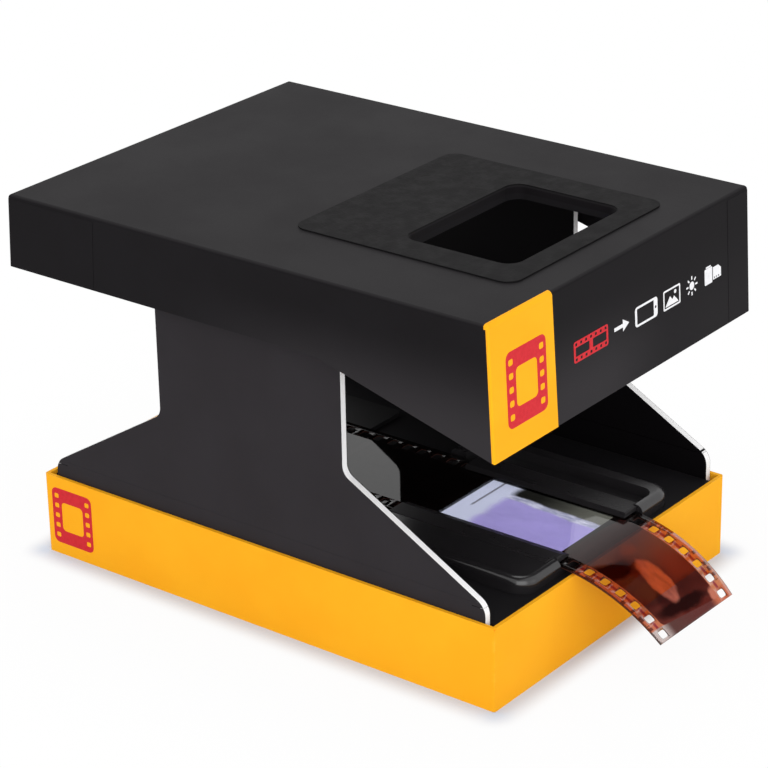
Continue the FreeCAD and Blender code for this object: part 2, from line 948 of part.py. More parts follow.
def battery_cover():
    """The cover over the battery opening: its side tongues meet the opening's back edge when it is open."""
    half_x = opening_half_x + cover_side_lap
    top = deck_top + cover_thickness
    cover = plate(-half_x, half_x, cover_front, cover_back, deck_top, top, cover_corner)
    for row in range(cover_ridge_count):
        y = cover_back - cover_ridge_from_back - row * cover_ridge_pitch
        ridge = box(
            -cover_ridge_length / 2,
            cover_ridge_length / 2,
            y - cover_ridge_width,
            y,
            top,
            top + cover_ridge_height,
        )
        cover = cover.fuse(ridge)
    tongue_x = opening_half_x - cover_tongue_gap
    tongue_front = opening_front + cover_tongue_from_front
    tongue_back = opening_back - cover_tongue_gap - cover_travel
    hook_front = opening_front + cover_hook_gap
    toe_top = deck_bottom - cover_hook_gap
    for side in (-1, 1):
        edge = sorted((side * tongue_x, side * (tongue_x - cover_tongue_thickness)))
        tongue = box(
            edge[0],
            edge[1],
            tongue_front,
            tongue_back,
            deck_top - cover_tongue_drop,
            deck_top,
        )
        x = side * cover_hook_spread / 2
        x0 = x - cover_hook_width / 2
        x1 = x + cover_hook_width / 2
        toe_bottom = toe_top - cover_hook_thickness
        stem = box(x0, x1, hook_front, hook_front + cover_hook_stem, toe_bottom, deck_top)
        toe = box(x0, x1, hook_front - cover_hook_toe, hook_front, toe_bottom, toe_top)
        cover = cover.fuse([tongue, stem, toe])
    return cover.removeSplitter()


# Power switch


def switch_screw_places():
    return [switch_x - switch_screw_spread / 2, switch_x + switch_screw_spread / 2]


def switch_body():
    body = box(
        switch_x - switch_length / 2,
        switch_x + switch_length / 2,
        wall_inner_y - switch_depth,
        wall_inner_y,
        switch_z - switch_height / 2,
        switch_z + switch_height / 2,
    )
    bay = box(
        switch_x - switch_bay_length / 2,
        switch_x + switch_bay_length / 2,
        wall_inner_y - switch_bay_depth,
        wall_inner_y + overrun,
        switch_z - switch_bay_height / 2,
        switch_z + switch_bay_height / 2,
    )
    body = body.cut(bay)
    for x in switch_screw_places():
        start = V(x, wall_inner_y - switch_screw_bite, switch_z)
        body = body.cut(rod(switch_screw_radius + screw_slack, start, Y_AXIS, switch_screw_bite + overrun))
    return body


def switch_bezel():
    """A thin plate outside the back wall with the slider's window in it."""
    half_x = switch_length / 2
    half_z = bezel_height / 2
    y = base_length / 2
    points = [
        V(switch_x - half_x, y, switch_z - half_z),
        V(switch_x + half_x, y, switch_z - half_z),
        V(switch_x + half_x, y, switch_z + half_z),
        V(switch_x - half_x, y, switch_z + half_z),
    ]
    bezel = Part.Face(ring(points, [bezel_corner] * len(points))).extrude(V(0, bezel_thickness, 0))
    window = box(
        switch_x - switch_bay_length / 2,
        switch_x + switch_bay_length / 2,
        y - overrun,
        y + bezel_thickness + overrun,
        switch_z - bezel_window_height / 2,
        switch_z + bezel_window_height / 2,
    )
    bezel = bezel.cut(window)
    for x in switch_screw_places():
        start = V(x, y - overrun, switch_z)
        hole = rod(switch_screw_radius + screw_slack, start, Y_AXIS, bezel_thickness + 2 * overrun)
        bezel = bezel.cut(hole)
    return bezel


def switch_screws():
    length = bezel_thickness + base_wall + switch_screw_bite - screw_pass_gap
    inward = V(0, -1, 0)
    shapes = []
    for x in switch_screw_places():
        point = V(x, bezel_outer_y, switch_z)
        head = (switch_screw_head_radius, switch_screw_head_height)
        shapes.append(screw(point, inward, head[0], head[1], switch_screw_radius, length))
    return group(shapes)


def switch_slider():
    """The slider at its off end, with its foot in the body's bay and its stem through the bezel."""
    x = switch_x - slider_travel / 2
    foot_half = switch_bay_height / 2 - slider_gap
    stem_half = bezel_window_height / 2 - slider_gap
    foot_y = wall_inner_y - switch_bay_depth + slider_gap
    stem_y = foot_y + slider_foot_depth
    foot = box(
        x - slider_foot_length / 2,
        x + slider_foot_length / 2,
        foot_y,
        stem_y,
        switch_z - foot_half,
        switch_z + foot_half,
    )
    stem = box(
        x - slider_stem_length / 2,
        x + slider_stem_length / 2,
        stem_y,
        bezel_outer_y + slider_proud,
        switch_z - stem_half,
        switch_z + stem_half,
    )
    return foot.fuse(stem).removeSplitter()


# Lead wires


def wire_box_places():
    return [wire_pair_x - wire_pair_spread / 2, wire_pair_x + wire_pair_spread / 2]


def wire_end(x):
    """Where a wire ends under the LED board."""
    return V(x, gate_y + box_inner_y - wire_in_box, wire_box_z)


def wire_positive():
    y = cell_centre_y(1)
    x = holder_outer_x + wire_lead_out
    z = switch_z - wire_terminal_spread / 2
    return tube([V(holder_outer_x, y, z), V(x, y, z), V(x, wall_inner_y - switch_depth, z)], wire_radius)


def wire_switched():
    near, far = wire_box_places()
    x = switch_x + wire_side_offset
    z = switch_z + wire_terminal_spread / 2
    return tube(
        [
            V(x, wall_inner_y - switch_depth, z),
            V(x, cell_front_y, z),
            V(x, 0, wire_box_z),
            V(far, wire_cross_y, wire_box_z),
            wire_end(far),
        ],
        wire_radius,
    )


def wire_negative():
    near, far = wire_box_places()
    y = cell_centre_y(0)
    x = holder_outer_x + wire_lead_out / 2
    start = V(holder_outer_x, y, wire_box_z)
    return tube(
        [
            start,
            V(x, y, wire_box_z),
            V(x, cell_front_y - cell_pitch, wire_box_z),
            V(near, -wire_cross_y, wire_box_z),
            wire_end(near),
        ],
        wire_radius,
    )


# Film


def film_profile():
    """The film's side view: flat through the tray, then curling down in front."""
    turn = film_curl_length / film_curl_radius
    tail_y = curl_y + film_length - film_curl_length
    mid_z = (film_bottom + film_top) / 2
    centre = V(0, curl_y, mid_z - film_curl_radius)

    def on_curl(radius, angle):
        return centre + V(0, -radius * math.sin(angle), radius * math.cos(angle))

    outer = film_curl_radius + film_thickness / 2
    inner = film_curl_radius - film_thickness / 2
    edges = [
        Part.makeLine(V(0, tail_y, film_top), on_curl(outer, 0)),
        Part.Arc(on_curl(outer, 0), on_curl(outer, turn / 2), on_curl(outer, turn)).toShape(),
        Part.makeLine(on_curl(outer, turn), on_curl(inner, turn)),
        Part.Arc(on_curl(inner, turn), on_curl(inner, turn / 2), on_curl(inner, 0)).toShape(),
        Part.makeLine(on_curl(inner, 0), V(0, tail_y, film_bottom)),
        Part.makeLine(V(0, tail_y, film_bottom), V(0, tail_y, film_top)),
    ]
    return Part.Face(Part.Wire(edges)), centre


def perforation():
    """One hole's block at the origin, upright."""
    across = perforation_across / 2
    along = perforation_along / 2
    return plate(-across, across, -along, along, -overrun, overrun, perforation_corner)


def film_strip():
    profile, centre = film_profile()
    strip = profile.extrude(V(film_width, 0, 0))
    strip.translate(V(-film_width / 2, 0, 0))
    row_x = film_width / 2 - perforation_from_edge - perforation_across / 2
    mid_z = (film_bottom + film_top) / 2
    holes = []
    along = film_curl_length - perforation_from_end
    while along > film_curl_length - film_length + perforation_from_end:
        for x in (-row_x, row_x):
            hole = perforation()
            if along > 0:
                angle = along / film_curl_radius
                hole.rotate(V(0, 0, 0), X_AXIS, math.degrees(angle))
                up = V(0, -math.sin(angle), math.cos(angle))
                hole.translate(centre + up * film_curl_radius + V(x, 0, 0))
            else:
                hole.translate(V(x, curl_y - along, mid_z))
            holes.append(hole)
        along -= perforation_pitch
    return strip.cut(holes)


def build():
    os.makedirs("parts", exist_ok=True)
    right_strip, right_panel = side_pieces(right_pivot_z, right_foot_lift)
    left_strip, left_panel = (mirrored(piece) for piece in side_pieces(left_pivot_z, 0))
    rail = lid_rail()
    nodes = {
        "base_tray": base_tray(),
        "deck_panel": deck_panel(),
        "deck_risers": deck_risers(),
        "left_hinge_strip": left_strip,
        "right_hinge_strip": right_strip,
        "left_side_panel": left_panel,
        "right_side_panel": right_panel,
        "lid_shell": lid_shell(),
        "lid_liner": lid_liner(),
        "left_lid_rail": mirrored(rail),
        "right_lid_rail": rail,
        "accent_strip": accent_strip(),
        "phone_pad": phone_pad(),
        "film_tray": film_tray(),
        "left_film_guide": mirrored(film_guide(left_guide_outer, left_guide_bevel)),
        "right_film_guide": film_guide(right_guide_outer, right_guide_bevel),
        "diffuser": diffuser(),
        "light_box": light_box(),
        "tray_screws": tray_screws(),
        "reflector": reflector(),
        "led_board": led_board(),
        "leds": leds(),
        "board_resistors": board_resistors(),
        "board_screws": board_screws(),
        "battery_holder": battery_holder(),
        "front_battery_cell": battery_cell(0),
        "back_battery_cell": battery_cell(1),
        "plate_contacts": plate_contacts(),
        "spring_contacts": spring_contacts(),
        "battery_cover": battery_cover(),
        "switch_body": switch_body(),
        "switch_bezel": switch_bezel(),
        "switch_screws": switch_screws(),
        "switch_slider": switch_slider(),
        "wire_positive": wire_positive(),
        "wire_switched": wire_switched(),
        "wire_negative": wire_negative(),
        "film_strip": film_strip(),
    }
    for name, shape in nodes.items():
        save(name, shape)
        print(name, "solids", len(shape.Solids), "valid", shape.isValid(), "volume", round(shape.Volume, 1))


build()
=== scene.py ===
"""Looks of the film negative scanner: finishes, printed marks, paper details, film, stage and light."""

import json
import math

import bpy
from mathutils import Matrix, Vector

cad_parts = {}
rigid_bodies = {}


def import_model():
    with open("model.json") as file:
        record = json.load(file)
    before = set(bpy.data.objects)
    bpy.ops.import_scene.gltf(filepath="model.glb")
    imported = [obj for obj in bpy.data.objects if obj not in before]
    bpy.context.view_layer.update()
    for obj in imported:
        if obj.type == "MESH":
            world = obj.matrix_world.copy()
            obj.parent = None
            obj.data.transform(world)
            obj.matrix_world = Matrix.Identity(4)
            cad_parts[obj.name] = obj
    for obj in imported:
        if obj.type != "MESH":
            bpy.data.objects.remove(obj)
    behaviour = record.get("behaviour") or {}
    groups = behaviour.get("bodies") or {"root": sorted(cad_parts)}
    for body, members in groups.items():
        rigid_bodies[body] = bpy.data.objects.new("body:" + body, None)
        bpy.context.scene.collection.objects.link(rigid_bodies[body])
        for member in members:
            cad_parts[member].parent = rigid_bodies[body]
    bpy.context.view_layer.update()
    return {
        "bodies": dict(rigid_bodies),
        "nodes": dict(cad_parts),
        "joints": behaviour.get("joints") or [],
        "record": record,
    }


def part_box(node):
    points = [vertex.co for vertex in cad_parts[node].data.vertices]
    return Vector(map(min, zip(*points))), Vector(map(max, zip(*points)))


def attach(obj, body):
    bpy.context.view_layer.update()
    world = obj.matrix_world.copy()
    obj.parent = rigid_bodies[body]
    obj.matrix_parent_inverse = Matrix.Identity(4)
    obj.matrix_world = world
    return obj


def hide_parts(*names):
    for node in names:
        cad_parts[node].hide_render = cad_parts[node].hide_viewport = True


MM = 0.001

# Camera, as solved from the photograph: angles in degrees, lengths in mm
CAMERA_AZIMUTH = -51.93
CAMERA_ELEVATION = 24.02
CAMERA_ROLL = -1.10
CAMERA_DISTANCE = 728.61
CAMERA_AIM_HEIGHT = 50.0
CAMERA_SLIDE_RIGHT = 0.91
CAMERA_SLIDE_UP = -2.63
CAMERA_LENS = 135.8
CAMERA_SENSOR = 36.0

# Finishes as linear colours
YELLOW = (0.970, 0.440, 0.0145)
YELLOW_DEEP = (0.950, 0.408, 0.0125)
YELLOW_PALE = (0.965, 0.490, 0.030)
LID_BLACK = (0.0080, 0.0070, 0.0080)
LID_BLACK_WORN = (0.022, 0.020, 0.022)
# painted sheen on the lid, low at the front
LID_BLACK_PAINTED_SHEEN = (0.029, 0.0265, 0.029)
# painted light on the lid's top face
LID_BLACK_TOP_PAINTED_LIGHT = (0.0175, 0.0162, 0.0175)
LID_BLACK_MOTTLED = (0.0095, 0.0085, 0.0098)
PANEL_BLACK = (0.0245, 0.0218, 0.0245)
PANEL_BLACK_WORN = (0.040, 0.037, 0.040)
PANEL_BLACK_MOTTLED = (0.0275, 0.0248, 0.0280)
# painted shade for the panels' inner faces
PANEL_INSIDE_PAINTED_SHADE = (0.0036, 0.0030, 0.0036)
INNER_BLACK = (0.0085, 0.0078, 0.0088)
INNER_BLACK_WORN = (0.016, 0.015, 0.017)
INNER_BLACK_MOTTLED = (0.0105, 0.0095, 0.0110)
BOARD_CORE = (0.95, 0.95, 0.955)
BOARD_CORE_DIM = (0.84, 0.83, 0.83)
PLASTIC_BLACK = (0.0140, 0.0128, 0.0140)
PLASTIC_BLACK_WORN = (0.024, 0.022, 0.024)
COVER_BLACK = (0.0085, 0.0078, 0.0085)
COVER_BLACK_WORN = (0.014, 0.013, 0.014)
MARK_RED = (0.62, 0.018, 0.028)
MARK_RED_DEEP = (0.55, 0.014, 0.022)
MARK_WHITE = (0.86, 0.86, 0.88)
MARK_WHITE_DEEP = (0.78, 0.78, 0.80)
# painted shade for the film under the lid
FILM_PAINTED_SHADE = (0.034, 0.018, 0.016)
FLOOR_PALE = (0.88, 0.88, 0.88)
FLOOR_PALE_SHADED = (0.86, 0.86, 0.865)
# painted shade on the floor right by the base
FLOOR_PAINTED_SHADE_BY_BASE = (0.60, 0.70, 0.86)

# Lid, in mm: how far its front and rear lean in for each mm of height, its board and its rounded corners
LID_LEAN = 0.052
LID_CORNER = 0.5
LID_TOP_ROUND = 1.1
LID_SIDE_BOTTOM = 80.0
LID_BOARD = 2.0

# Paper details, in mm
LINER_INSET = 11.0
PANEL_CORE_HALF = 0.84
PANEL_OUTER_PAPER = 0.05
LID_LAP_THICKNESS = 0.06
LID_CORNER_LAP_REACH = (9.6, 9.0)
LID_REAR_LAP_REACH = (16.0, 28.2)
TURN_IN_THICKNESS = 0.12
TURN_IN_HEIGHT = 13.0
TURN_IN_LOW = 80.3
TURN_IN_HIGH = 87.6
TURN_IN_FRONT_END = -22.0
BASE_LAP_THICKNESS = 0.10
BASE_LAP_REACH = 0.9
CREASE_FLAP_THICKNESS = 0.03
CREASE_FLAP_INSET = 3.2
CREASE_FLAP_BELOW = 0.6
CREASE_FLAP_ABOVE = 0.9

# Printed marks, in mm
INK_THICKNESS = 0.04
INK_GAP = 0.005
MARK_HEIGHT = 81.6
ACCENT_MARK_X = -40.9
BASE_MARK_Y = 62.0
BASE_MARK_HEIGHT = 11.1

# Film: lengths in mm, the twist at its tip in radians, the drift in 1/mm, and how it passes light
FILM_WIDTH = 35.0
FILM_THICKNESS = 0.15
FILM_HEIGHT = 23.275
FILM_TAIL = 55.8
CURL_START = -61.93
CURL_RADIUS = 57.6
CURL_LENGTH = 36.91
CURL_TWIST = 0.085
CURL_DRIFT = -0.0021
FILM_IOR = 1.06
FILM_CLEAR = 0.88
HOLE_PITCH = 4.75
HOLE_FROM_TIP = 1.79
HOLE_OFFSET = 14.1
HOLE_HALF_ACROSS = 1.4
HOLE_HALF_ALONG = 0.99
HOLE_CORNER = 0.5
HOLE_CELL_HALF = 2.0
CHART_MM = 100.0

# Pictures on the film: sizes and ends from its tip in mm, and the first one's skew
FRAME_HALF_WIDTH = 12.1
FRAME_CORNER = 1.2
TIP_FRAME = (2.4, 34.9)
TIP_FRAME_SKEW = 0.08
LIT_FRAME = (35.9, 72.9)
REAR_FRAMES = ((74.44, 110.44), (112.44, 148.44))
CLEAR_TIP_END = 2.9
# where the painted shade on the rebate starts
FILM_SHADE_START = 27.8

# Floor and sky: the floor's size in m and its grid, how white they are, and reaches from the base in mm
FLOOR_SIZE = 4.0
FLOOR_STEPS = 8
FLOOR_GLOW_NEAR = 0.10
FLOOR_GLOW_WIDE = 0.95
FLOOR_SHADE_REACH = 8.0
FLOOR_WHITE_REACH = 90.0
FLOOR_PAINTED_SHADE_REACH = 12.0
SKY_STRENGTH = 0.84


# Materials


class Paint:
    """A node material, with short calls that add a node and return its output."""

    def __init__(self, name, colour, rough, specular=0.5):
        self.material = bpy.data.materials.new(name)
        self.material.use_nodes = True
        self.tree = self.material.node_tree
        self.shader = self.tree.nodes["Principled BSDF"]
        self.set("Base Color", colour)
        self.set("Roughness", rough)
        self.set("Specular IOR Level", specular)
        self.mm = self.scaled(self.node("TexCoord", {}).outputs["Object"], 1.0 / MM)

    def join(self, socket, value):
        """Links an output to a socket, or writes a plain value on it."""
        if isinstance(value, bpy.types.NodeSocket):
            self.tree.links.new(value, socket)
        elif socket.type == "RGBA":
            socket.default_value = (*value, 1.0)
        else:
            socket.default_value = value

    def set(self, name, value):
        self.join(self.shader.inputs[name], value)

    def node(self, kind, values, **settings):
        """A new node with its settings, its inputs joined to outputs or set to values."""
        made = self.tree.nodes.new("ShaderNode" + kind)
        for name, setting in settings.items():
            setattr(made, name, setting)
        for name, value in values.items():
            self.join(made.inputs[name], value)
        return made

    def scaled(self, place, factor):
        return self.node("VectorMath", {0: place, "Scale": factor}, operation="SCALE").outputs[0]

    def axes(self, place=None):
        """The x, y and z of a place, in mm."""
        split = self.node("SeparateXYZ", {0: place or self.mm})
        return split.outputs[0], split.outputs[1], split.outputs[2]

    def maths(self, operation, first, second=0.0):
        return self.node("Math", {0: first, 1: second}, operation=operation).outputs[0]

    def plus(self, first, second):
        return self.maths("ADD", first, second)

    def times(self, first, second):
        return self.maths("MULTIPLY", first, second)

    def size(self, value):
        """The value without its sign."""
        return self.maths("ABSOLUTE", value)

    def larger(self, first, second):
        return self.maths("MAXIMUM", first, second)

    def past(self, first, half_first, second, half_second):
        """How far a place is outside a rectangle, from its distances off the middle lines."""
        over_first = self.larger(self.plus(first, -half_first), 0.0)
        over_second = self.larger(self.plus(second, -half_second), 0.0)
        squared = self.plus(self.times(over_first, over_first), self.times(over_second, over_second))
        return self.maths("SQRT", squared)

    def span(self, value, low, high, start=0.0, end=1.0):
        """Start below low, end above high, and a smooth step between them."""
        values = {"Value": value, "From Min": low, "From Max": high, "To Min": start, "To Max": end}
        return self.node("MapRange", values, interpolation_type="SMOOTHSTEP").outputs["Result"]

    def band(self, value, low, high, soft):
        """One between low and high, nought outside, with soft edges."""
        rise = self.span(value, low - soft, low + soft)
        return self.times(rise, self.span(value, high - soft, high + soft, 1.0, 0.0))

    def noise(self, size, detail=3.0, rough=0.5, stretch=(1.0, 1.0, 1.0), place=None):
        """Noise whose grains are about size mm, drawn out by stretch."""
        shrink = [1.0 / s for s in stretch]
        mapped = self.node("Mapping", {"Vector": place or self.mm, "Scale": shrink}).outputs[0]
        values = {"Vector": mapped, "Scale": 1.0 / size, "Detail": detail, "Roughness": rough}
        return self.node("TexNoise", values).outputs[0]

    def cells(self, size):
        """Distance to the nearest of scattered points about size mm apart."""
        return self.node("TexVoronoi", {"Vector": self.mm, "Scale": 1.0 / size}).outputs["Distance"]

    def blend(self, factor, first, second):
        mix = self.node("Mix", {"Factor": factor}, data_type="RGBA")
        colours = [s for s in mix.inputs if s.type == "RGBA"]
        self.join(colours[0], first)
        self.join(colours[1], second)
        return [s for s in mix.outputs if s.type == "RGBA"][0]

    def tint(self, share, first, second):
        """Colours the surface with a blend."""
        self.set("Base Color", self.blend(share, first, second))

    def warped(self, place, size, amount):
        """A place shifted to and fro by up to amount mm, in waves about size mm long."""
        wave = self.noise(size, place=place).node.outputs["Color"]
        centred = self.node("VectorMath", {0: wave, 1: (0.5, 0.5, 0.5)}, operation="SUBTRACT").outputs[0]
        values = {0: centred, 1: (2 * amount, 2 * amount, 0.0), 2: place}
        return self.node("VectorMath", values, operation="MULTIPLY_ADD").outputs[0]

    def blob(self, place, middle, half, turn, soft):
        """One inside an ellipse with the given middle and half sizes in mm, and a soft edge."""
        values = {"Vector": place, "Location": (*middle, 0.0), "Scale": (*half, 1.0),
                  "Rotation": (0.0, 0.0, math.radians(turn))}
        mapped = self.node("Mapping", values, vector_type="TEXTURE").outputs[0]
        away = self.node("VectorMath", {0: mapped}, operation="LENGTH").outputs["Value"]
        return self.span(away, 1.0 - soft, 1.0 + soft, 1.0, 0.0)

    def bump(self, height, depth):
        """Raises the surface by up to depth mm where height is one."""
        bump = self.node("Bump", {"Strength": 1.0, "Distance": depth * MM, "Height": height})
        self.set("Normal", bump.outputs[0])


def seen_directly(tree):
    """One for rays from the camera, also by way of a reflection or through the film."""
    rays = tree.nodes.new("ShaderNodeLightPath")
    seen = rays.outputs["Is Camera Ray"]
    for kind in ("Is Glossy Ray", "Is Transmission Ray"):
        larger = tree.nodes.new("ShaderNodeMath")
        larger.operation = "MAXIMUM"
        tree.links.new(seen, larger.inputs[0])
        tree.links.new(rays.outputs[kind], larger.inputs[1])
        seen = larger.outputs[0]
    return seen


def paper_surface(paint, plain, worn, mottled, rough, wear):
    """Laminated paper: mottling, fibres, rubbed places and their relief; on the base these also carry
    painted rim light. Returns its colour.
    """
    mottle = paint.noise(22.0, 4.0, 0.55)
    fibre = paint.noise(0.35, 5.0, 0.62, stretch=(1.0, 1.8, 1.0))
    specks = paint.noise(1.4, 6.0, 0.7)
    base = paint.blend(paint.span(mottle, 0.3, 0.7), plain, mottled)
    flecked = paint.blend(paint.span(specks, 0.66, 0.80, 0.0, 0.35), base, worn)
    rubbed = paint.blend(wear, flecked, worn)
    paint.set("Base Color", rubbed)
    soft = paint.span(mottle, 0.25, 0.75, rough - 0.035, rough + 0.035)
    paint.set("Roughness", paint.plus(soft, paint.times(fibre, 0.08)))
    paint.bump(fibre, 0.010)
    return rubbed


def near_corner(paint, half_x, half_y, reach, lean=0.0, base_z=0.0):
    """One close to the upright corners of a box whose ends may lean in, fading out over reach mm."""
    x, y, z = paint.axes()
    leaned = paint.times(paint.plus(z, -base_z), lean)
    straight = paint.plus(paint.size(y), leaned)
    by_x = paint.span(paint.size(x), half_x - reach, half_x)
    by_y = paint.span(straight, half_y - reach, half_y)
    return paint.times(by_x, by_y)


def patchy(paint, mask, size, amount):
    """Breaks a mask into patches of about size mm."""
    patches = paint.span(paint.noise(size, 4.0, 0.6), 0.42, 0.68, 0.0, amount)
    return paint.times(mask, patches)


def base_board(half_x, half_y, height):
    """Yellow wrap with faint wear at the corners, painted light on the top of its rim, and a grey liner
    sheet glued underneath.
    """
    paint = Paint("base_board_yellow_wrap", YELLOW, 0.46, 0.035)
    corner = near_corner(paint, half_x, half_y, 1.2)
    x, y, z = paint.axes()
    # painted light: lighter patches on the top 0.5 mm of the rim, against the shade of the panels
    painted_rim_light = paint.span(z, height - 0.5, height, 0.0, 0.6)
    # wear here holds both the corner wear and the painted rim light
    wear = patchy(paint, paint.larger(corner, painted_rim_light), 3.0, 0.55)
    wrapped = paper_surface(paint, YELLOW, YELLOW_PALE, YELLOW_DEEP, 0.44, wear)
    liner = paint.span(z, 0.02, 0.06, 1.0, 0.0)
    for value, half in ((x, half_x - LINER_INSET), (y, half_y - LINER_INSET)):
        liner = paint.times(liner, paint.span(paint.size(value), half, half + 0.2, 1.0, 0.0))
    pulp = paint.span(paint.noise(0.8, 6.0), 0.3, 0.7)
    grey = paint.blend(pulp, (0.30, 0.29, 0.27), (0.36, 0.35, 0.33))
    paint.tint(liner, wrapped, grey)
    return paint.material


def lid_board(half_x, half_y, base_z, top_z):
    """Black wrap of the lid: rubbed on its corners, with painted light: a lighter top face and a painted
    sheen low at the front, most on the left side.
    """
    paint = Paint("lid_board_black_wrap", LID_BLACK, 0.50, 0.045)
    corner = near_corner(paint, half_x, half_y, 0.9, LID_LEAN, base_z)
    wear = patchy(paint, corner, 2.0, 0.5)
    wrapped = paper_surface(paint, LID_BLACK, LID_BLACK_WORN, LID_BLACK_MOTTLED, 0.47, wear)
    x, y, z = paint.axes()
    # painted sheen: lighter low on the front half of the lid, most on its left side
    low = paint.span(z, base_z + 3.5, base_z + 26.5, 1.0, 0.0)
    front = paint.span(y, -30.0, 28.0, 1.0, 0.0)
    left = paint.span(x, -14.0, 22.0, 1.0, 0.22)
    painted_sheen = paint.times(paint.times(low, front), left)
    greyer = paint.blend(painted_sheen, wrapped, LID_BLACK_PAINTED_SHEEN)
    # painted light: the top face is coloured lighter than the sides
    top = paint.span(z, top_z - 0.6, top_z - 0.1)
    paint.tint(top, greyer, LID_BLACK_TOP_PAINTED_LIGHT)
    return paint.material


def panel_board(middle, half, creases, reach_y):
    """Black wrap on a panel's faces, with the pale board core on its cut edges but not in its crease, and
    painted shade on its inner face.
    """
    paint = Paint("panel_board_cut", PANEL_BLACK, 0.52, 0.045)
    x, y, z = paint.axes()
    outward = paint.plus(paint.size(x), -middle)
    inward = paint.times(outward, -1.0)
    outer_core = half - PANEL_OUTER_PAPER
    off_middle = paint.larger(inward, paint.plus(outward, PANEL_CORE_HALF - outer_core))
    ragged = paint.times(paint.noise(0.6, 4.0, 0.6), 0.10)
    core = paint.span(paint.plus(off_middle, ragged), PANEL_CORE_HALF, PANEL_CORE_HALF + 0.04, 1.0, 0.0)
    crease = paint.span(x, -1.0, 1.0, creases[0], creases[1])
    off_crease = paint.size(paint.maths("SUBTRACT", z, crease))
    folded = paint.span(off_crease, 0.5, 0.6, 1.0, 0.0)
    between_ends = paint.span(paint.size(y), reach_y - 0.25, reach_y - 0.15, 1.0, 0.0)
    open_core = paint.maths("SUBTRACT", 1.0, paint.times(folded, between_ends))
    core = paint.times(core, open_core)
    wrapped = paper_surface(paint, PANEL_BLACK, PANEL_BLACK_WORN, PANEL_BLACK_MOTTLED, 0.49, 0.0)
    # painted shade: the inner face, under the lid, is coloured nearly black
    inside = paint.span(paint.size(x), middle - 0.1, middle + 0.1, 1.0, 0.0)
    wrapped = paint.blend(inside, wrapped, PANEL_INSIDE_PAINTED_SHADE)
    layers = paint.span(paint.noise(0.25, 4.0, 0.6, stretch=(0.35, 6.0, 6.0)), 0.35, 0.7)
    pulp = paint.blend(layers, BOARD_CORE, BOARD_CORE_DIM)
    paint.tint(core, wrapped, pulp)
    return paint.material


def plain_paper(name, plain, worn, mottled, rough, specular):
    """Paper with no rubbed corners of its own."""
    paint = Paint(name, plain, rough, specular)
    paper_surface(paint, plain, worn, mottled, rough - 0.02, 0.0)
    return paint.material


def moulded_plastic(name, colour, worn, rough, specular, texture):
    """Moulded plastic with a fine texture, faint flow marks and fine scuffs."""
    paint = Paint(name, colour, rough, specular)
    flow = paint.noise(9.0, stretch=(1.0, 3.0, 1.0))
    pits = paint.noise(0.22, 3.0, 0.6)
    scuff = paint.noise(1.6, 8.0, 0.75, stretch=(1.0, 7.0, 1.0))
    body = paint.blend(paint.span(flow, 0.3, 0.7, 0.0, 0.5), colour, worn)
    paint.tint(paint.span(scuff, 0.70, 0.80, 0.0, 0.5), body, worn)
    varied = paint.span(flow, 0.2, 0.8, rough - 0.04, rough + 0.05)
    paint.set("Roughness", paint.plus(varied, paint.span(scuff, 0.68, 0.80, 0.0, 0.12)))
    paint.bump(pits, texture)
    return paint.material


def rubber_pad():
    """Soft rubber with a fine stipple."""
    plain = (0.0085, 0.0080, 0.0085)
    paint = Paint("pad_rubber", plain, 0.62, 0.06)
    stipple = paint.cells(0.55)
    dust = paint.noise(5.0, 7.0, 0.7)
    dusty = paint.span(dust, 0.55, 0.8, 0.0, 0.4)
    paint.tint(dusty, plain, (0.020, 0.019, 0.020))
    paint.set("Roughness", paint.span(dust, 0.3, 0.7, 0.56, 0.70))
    paint.bump(stipple, 0.02)
    return paint.material


def grained(name, tones, rough, vary, specular, grain, depth, ends=None):
    """One even grain between two tones, which also shows in the roughness and the relief."""
    paint = Paint(name, tones[0], rough, specular)
    pattern = paint.noise(*grain)
    share = paint.span(pattern, *ends) if ends else pattern
    paint.tint(share, *tones)
    paint.set("Roughness", paint.span(pattern, 0.3, 0.7, rough - vary, rough + vary))
    paint.bump(pattern, depth)
    return paint.material


def printed_ink(name, *tones):
    """Screen-printed ink: a little uneven, a little glossier than the paper."""
    return grained(name, tones, 0.40, 0.06, 0.12, (0.8, 5.0, 0.6), 0.006, (0.35, 0.75))


def metal(name, colour, tarnish, rough):
    """Drawn or stamped metal with fine draw lines and some tarnish."""
    paint = Paint(name, colour, rough)
    paint.set("Metallic", 1.0)
    lines = paint.noise(0.18, 4.0, 0.6, stretch=(1.0, 1.0, 14.0))
    stain = paint.noise(3.5, 6.0, 0.65)
    paint.tint(paint.span(stain, 0.5, 0.8), colour, tarnish)
    paint.set("Roughness", paint.span(stain, 0.35, 0.75, rough - 0.06, rough + 0.14))
    paint.bump(lines, 0.006)
    return paint.material


def diffuser_plastic():
    """Opal acrylic, lit from below, a little unevenly."""
    opal = (0.80, 0.80, 0.82)
    paint = Paint("diffuser_opal", opal, 0.45, 0.3)
    cloud = paint.noise(14.0)
    paint.tint(cloud, opal, (0.74, 0.75, 0.78))
    paint.set("Emission Color", (0.97, 0.98, 1.0))
    paint.set("Emission Strength", paint.span(cloud, 0.2, 0.8, 0.96, 1.08))
    paint.bump(paint.noise(0.3), 0.01)
    return paint.material


def reflective_white():
    """White reflector card inside the light box."""
    tones = ((0.80, 0.80, 0.79), (0.74, 0.74, 0.72))
    return grained("light_box_white", tones, 0.55, 0.0, 0.3, (0.4, 5.0, 0.6), 0.01, (0.3, 0.7))


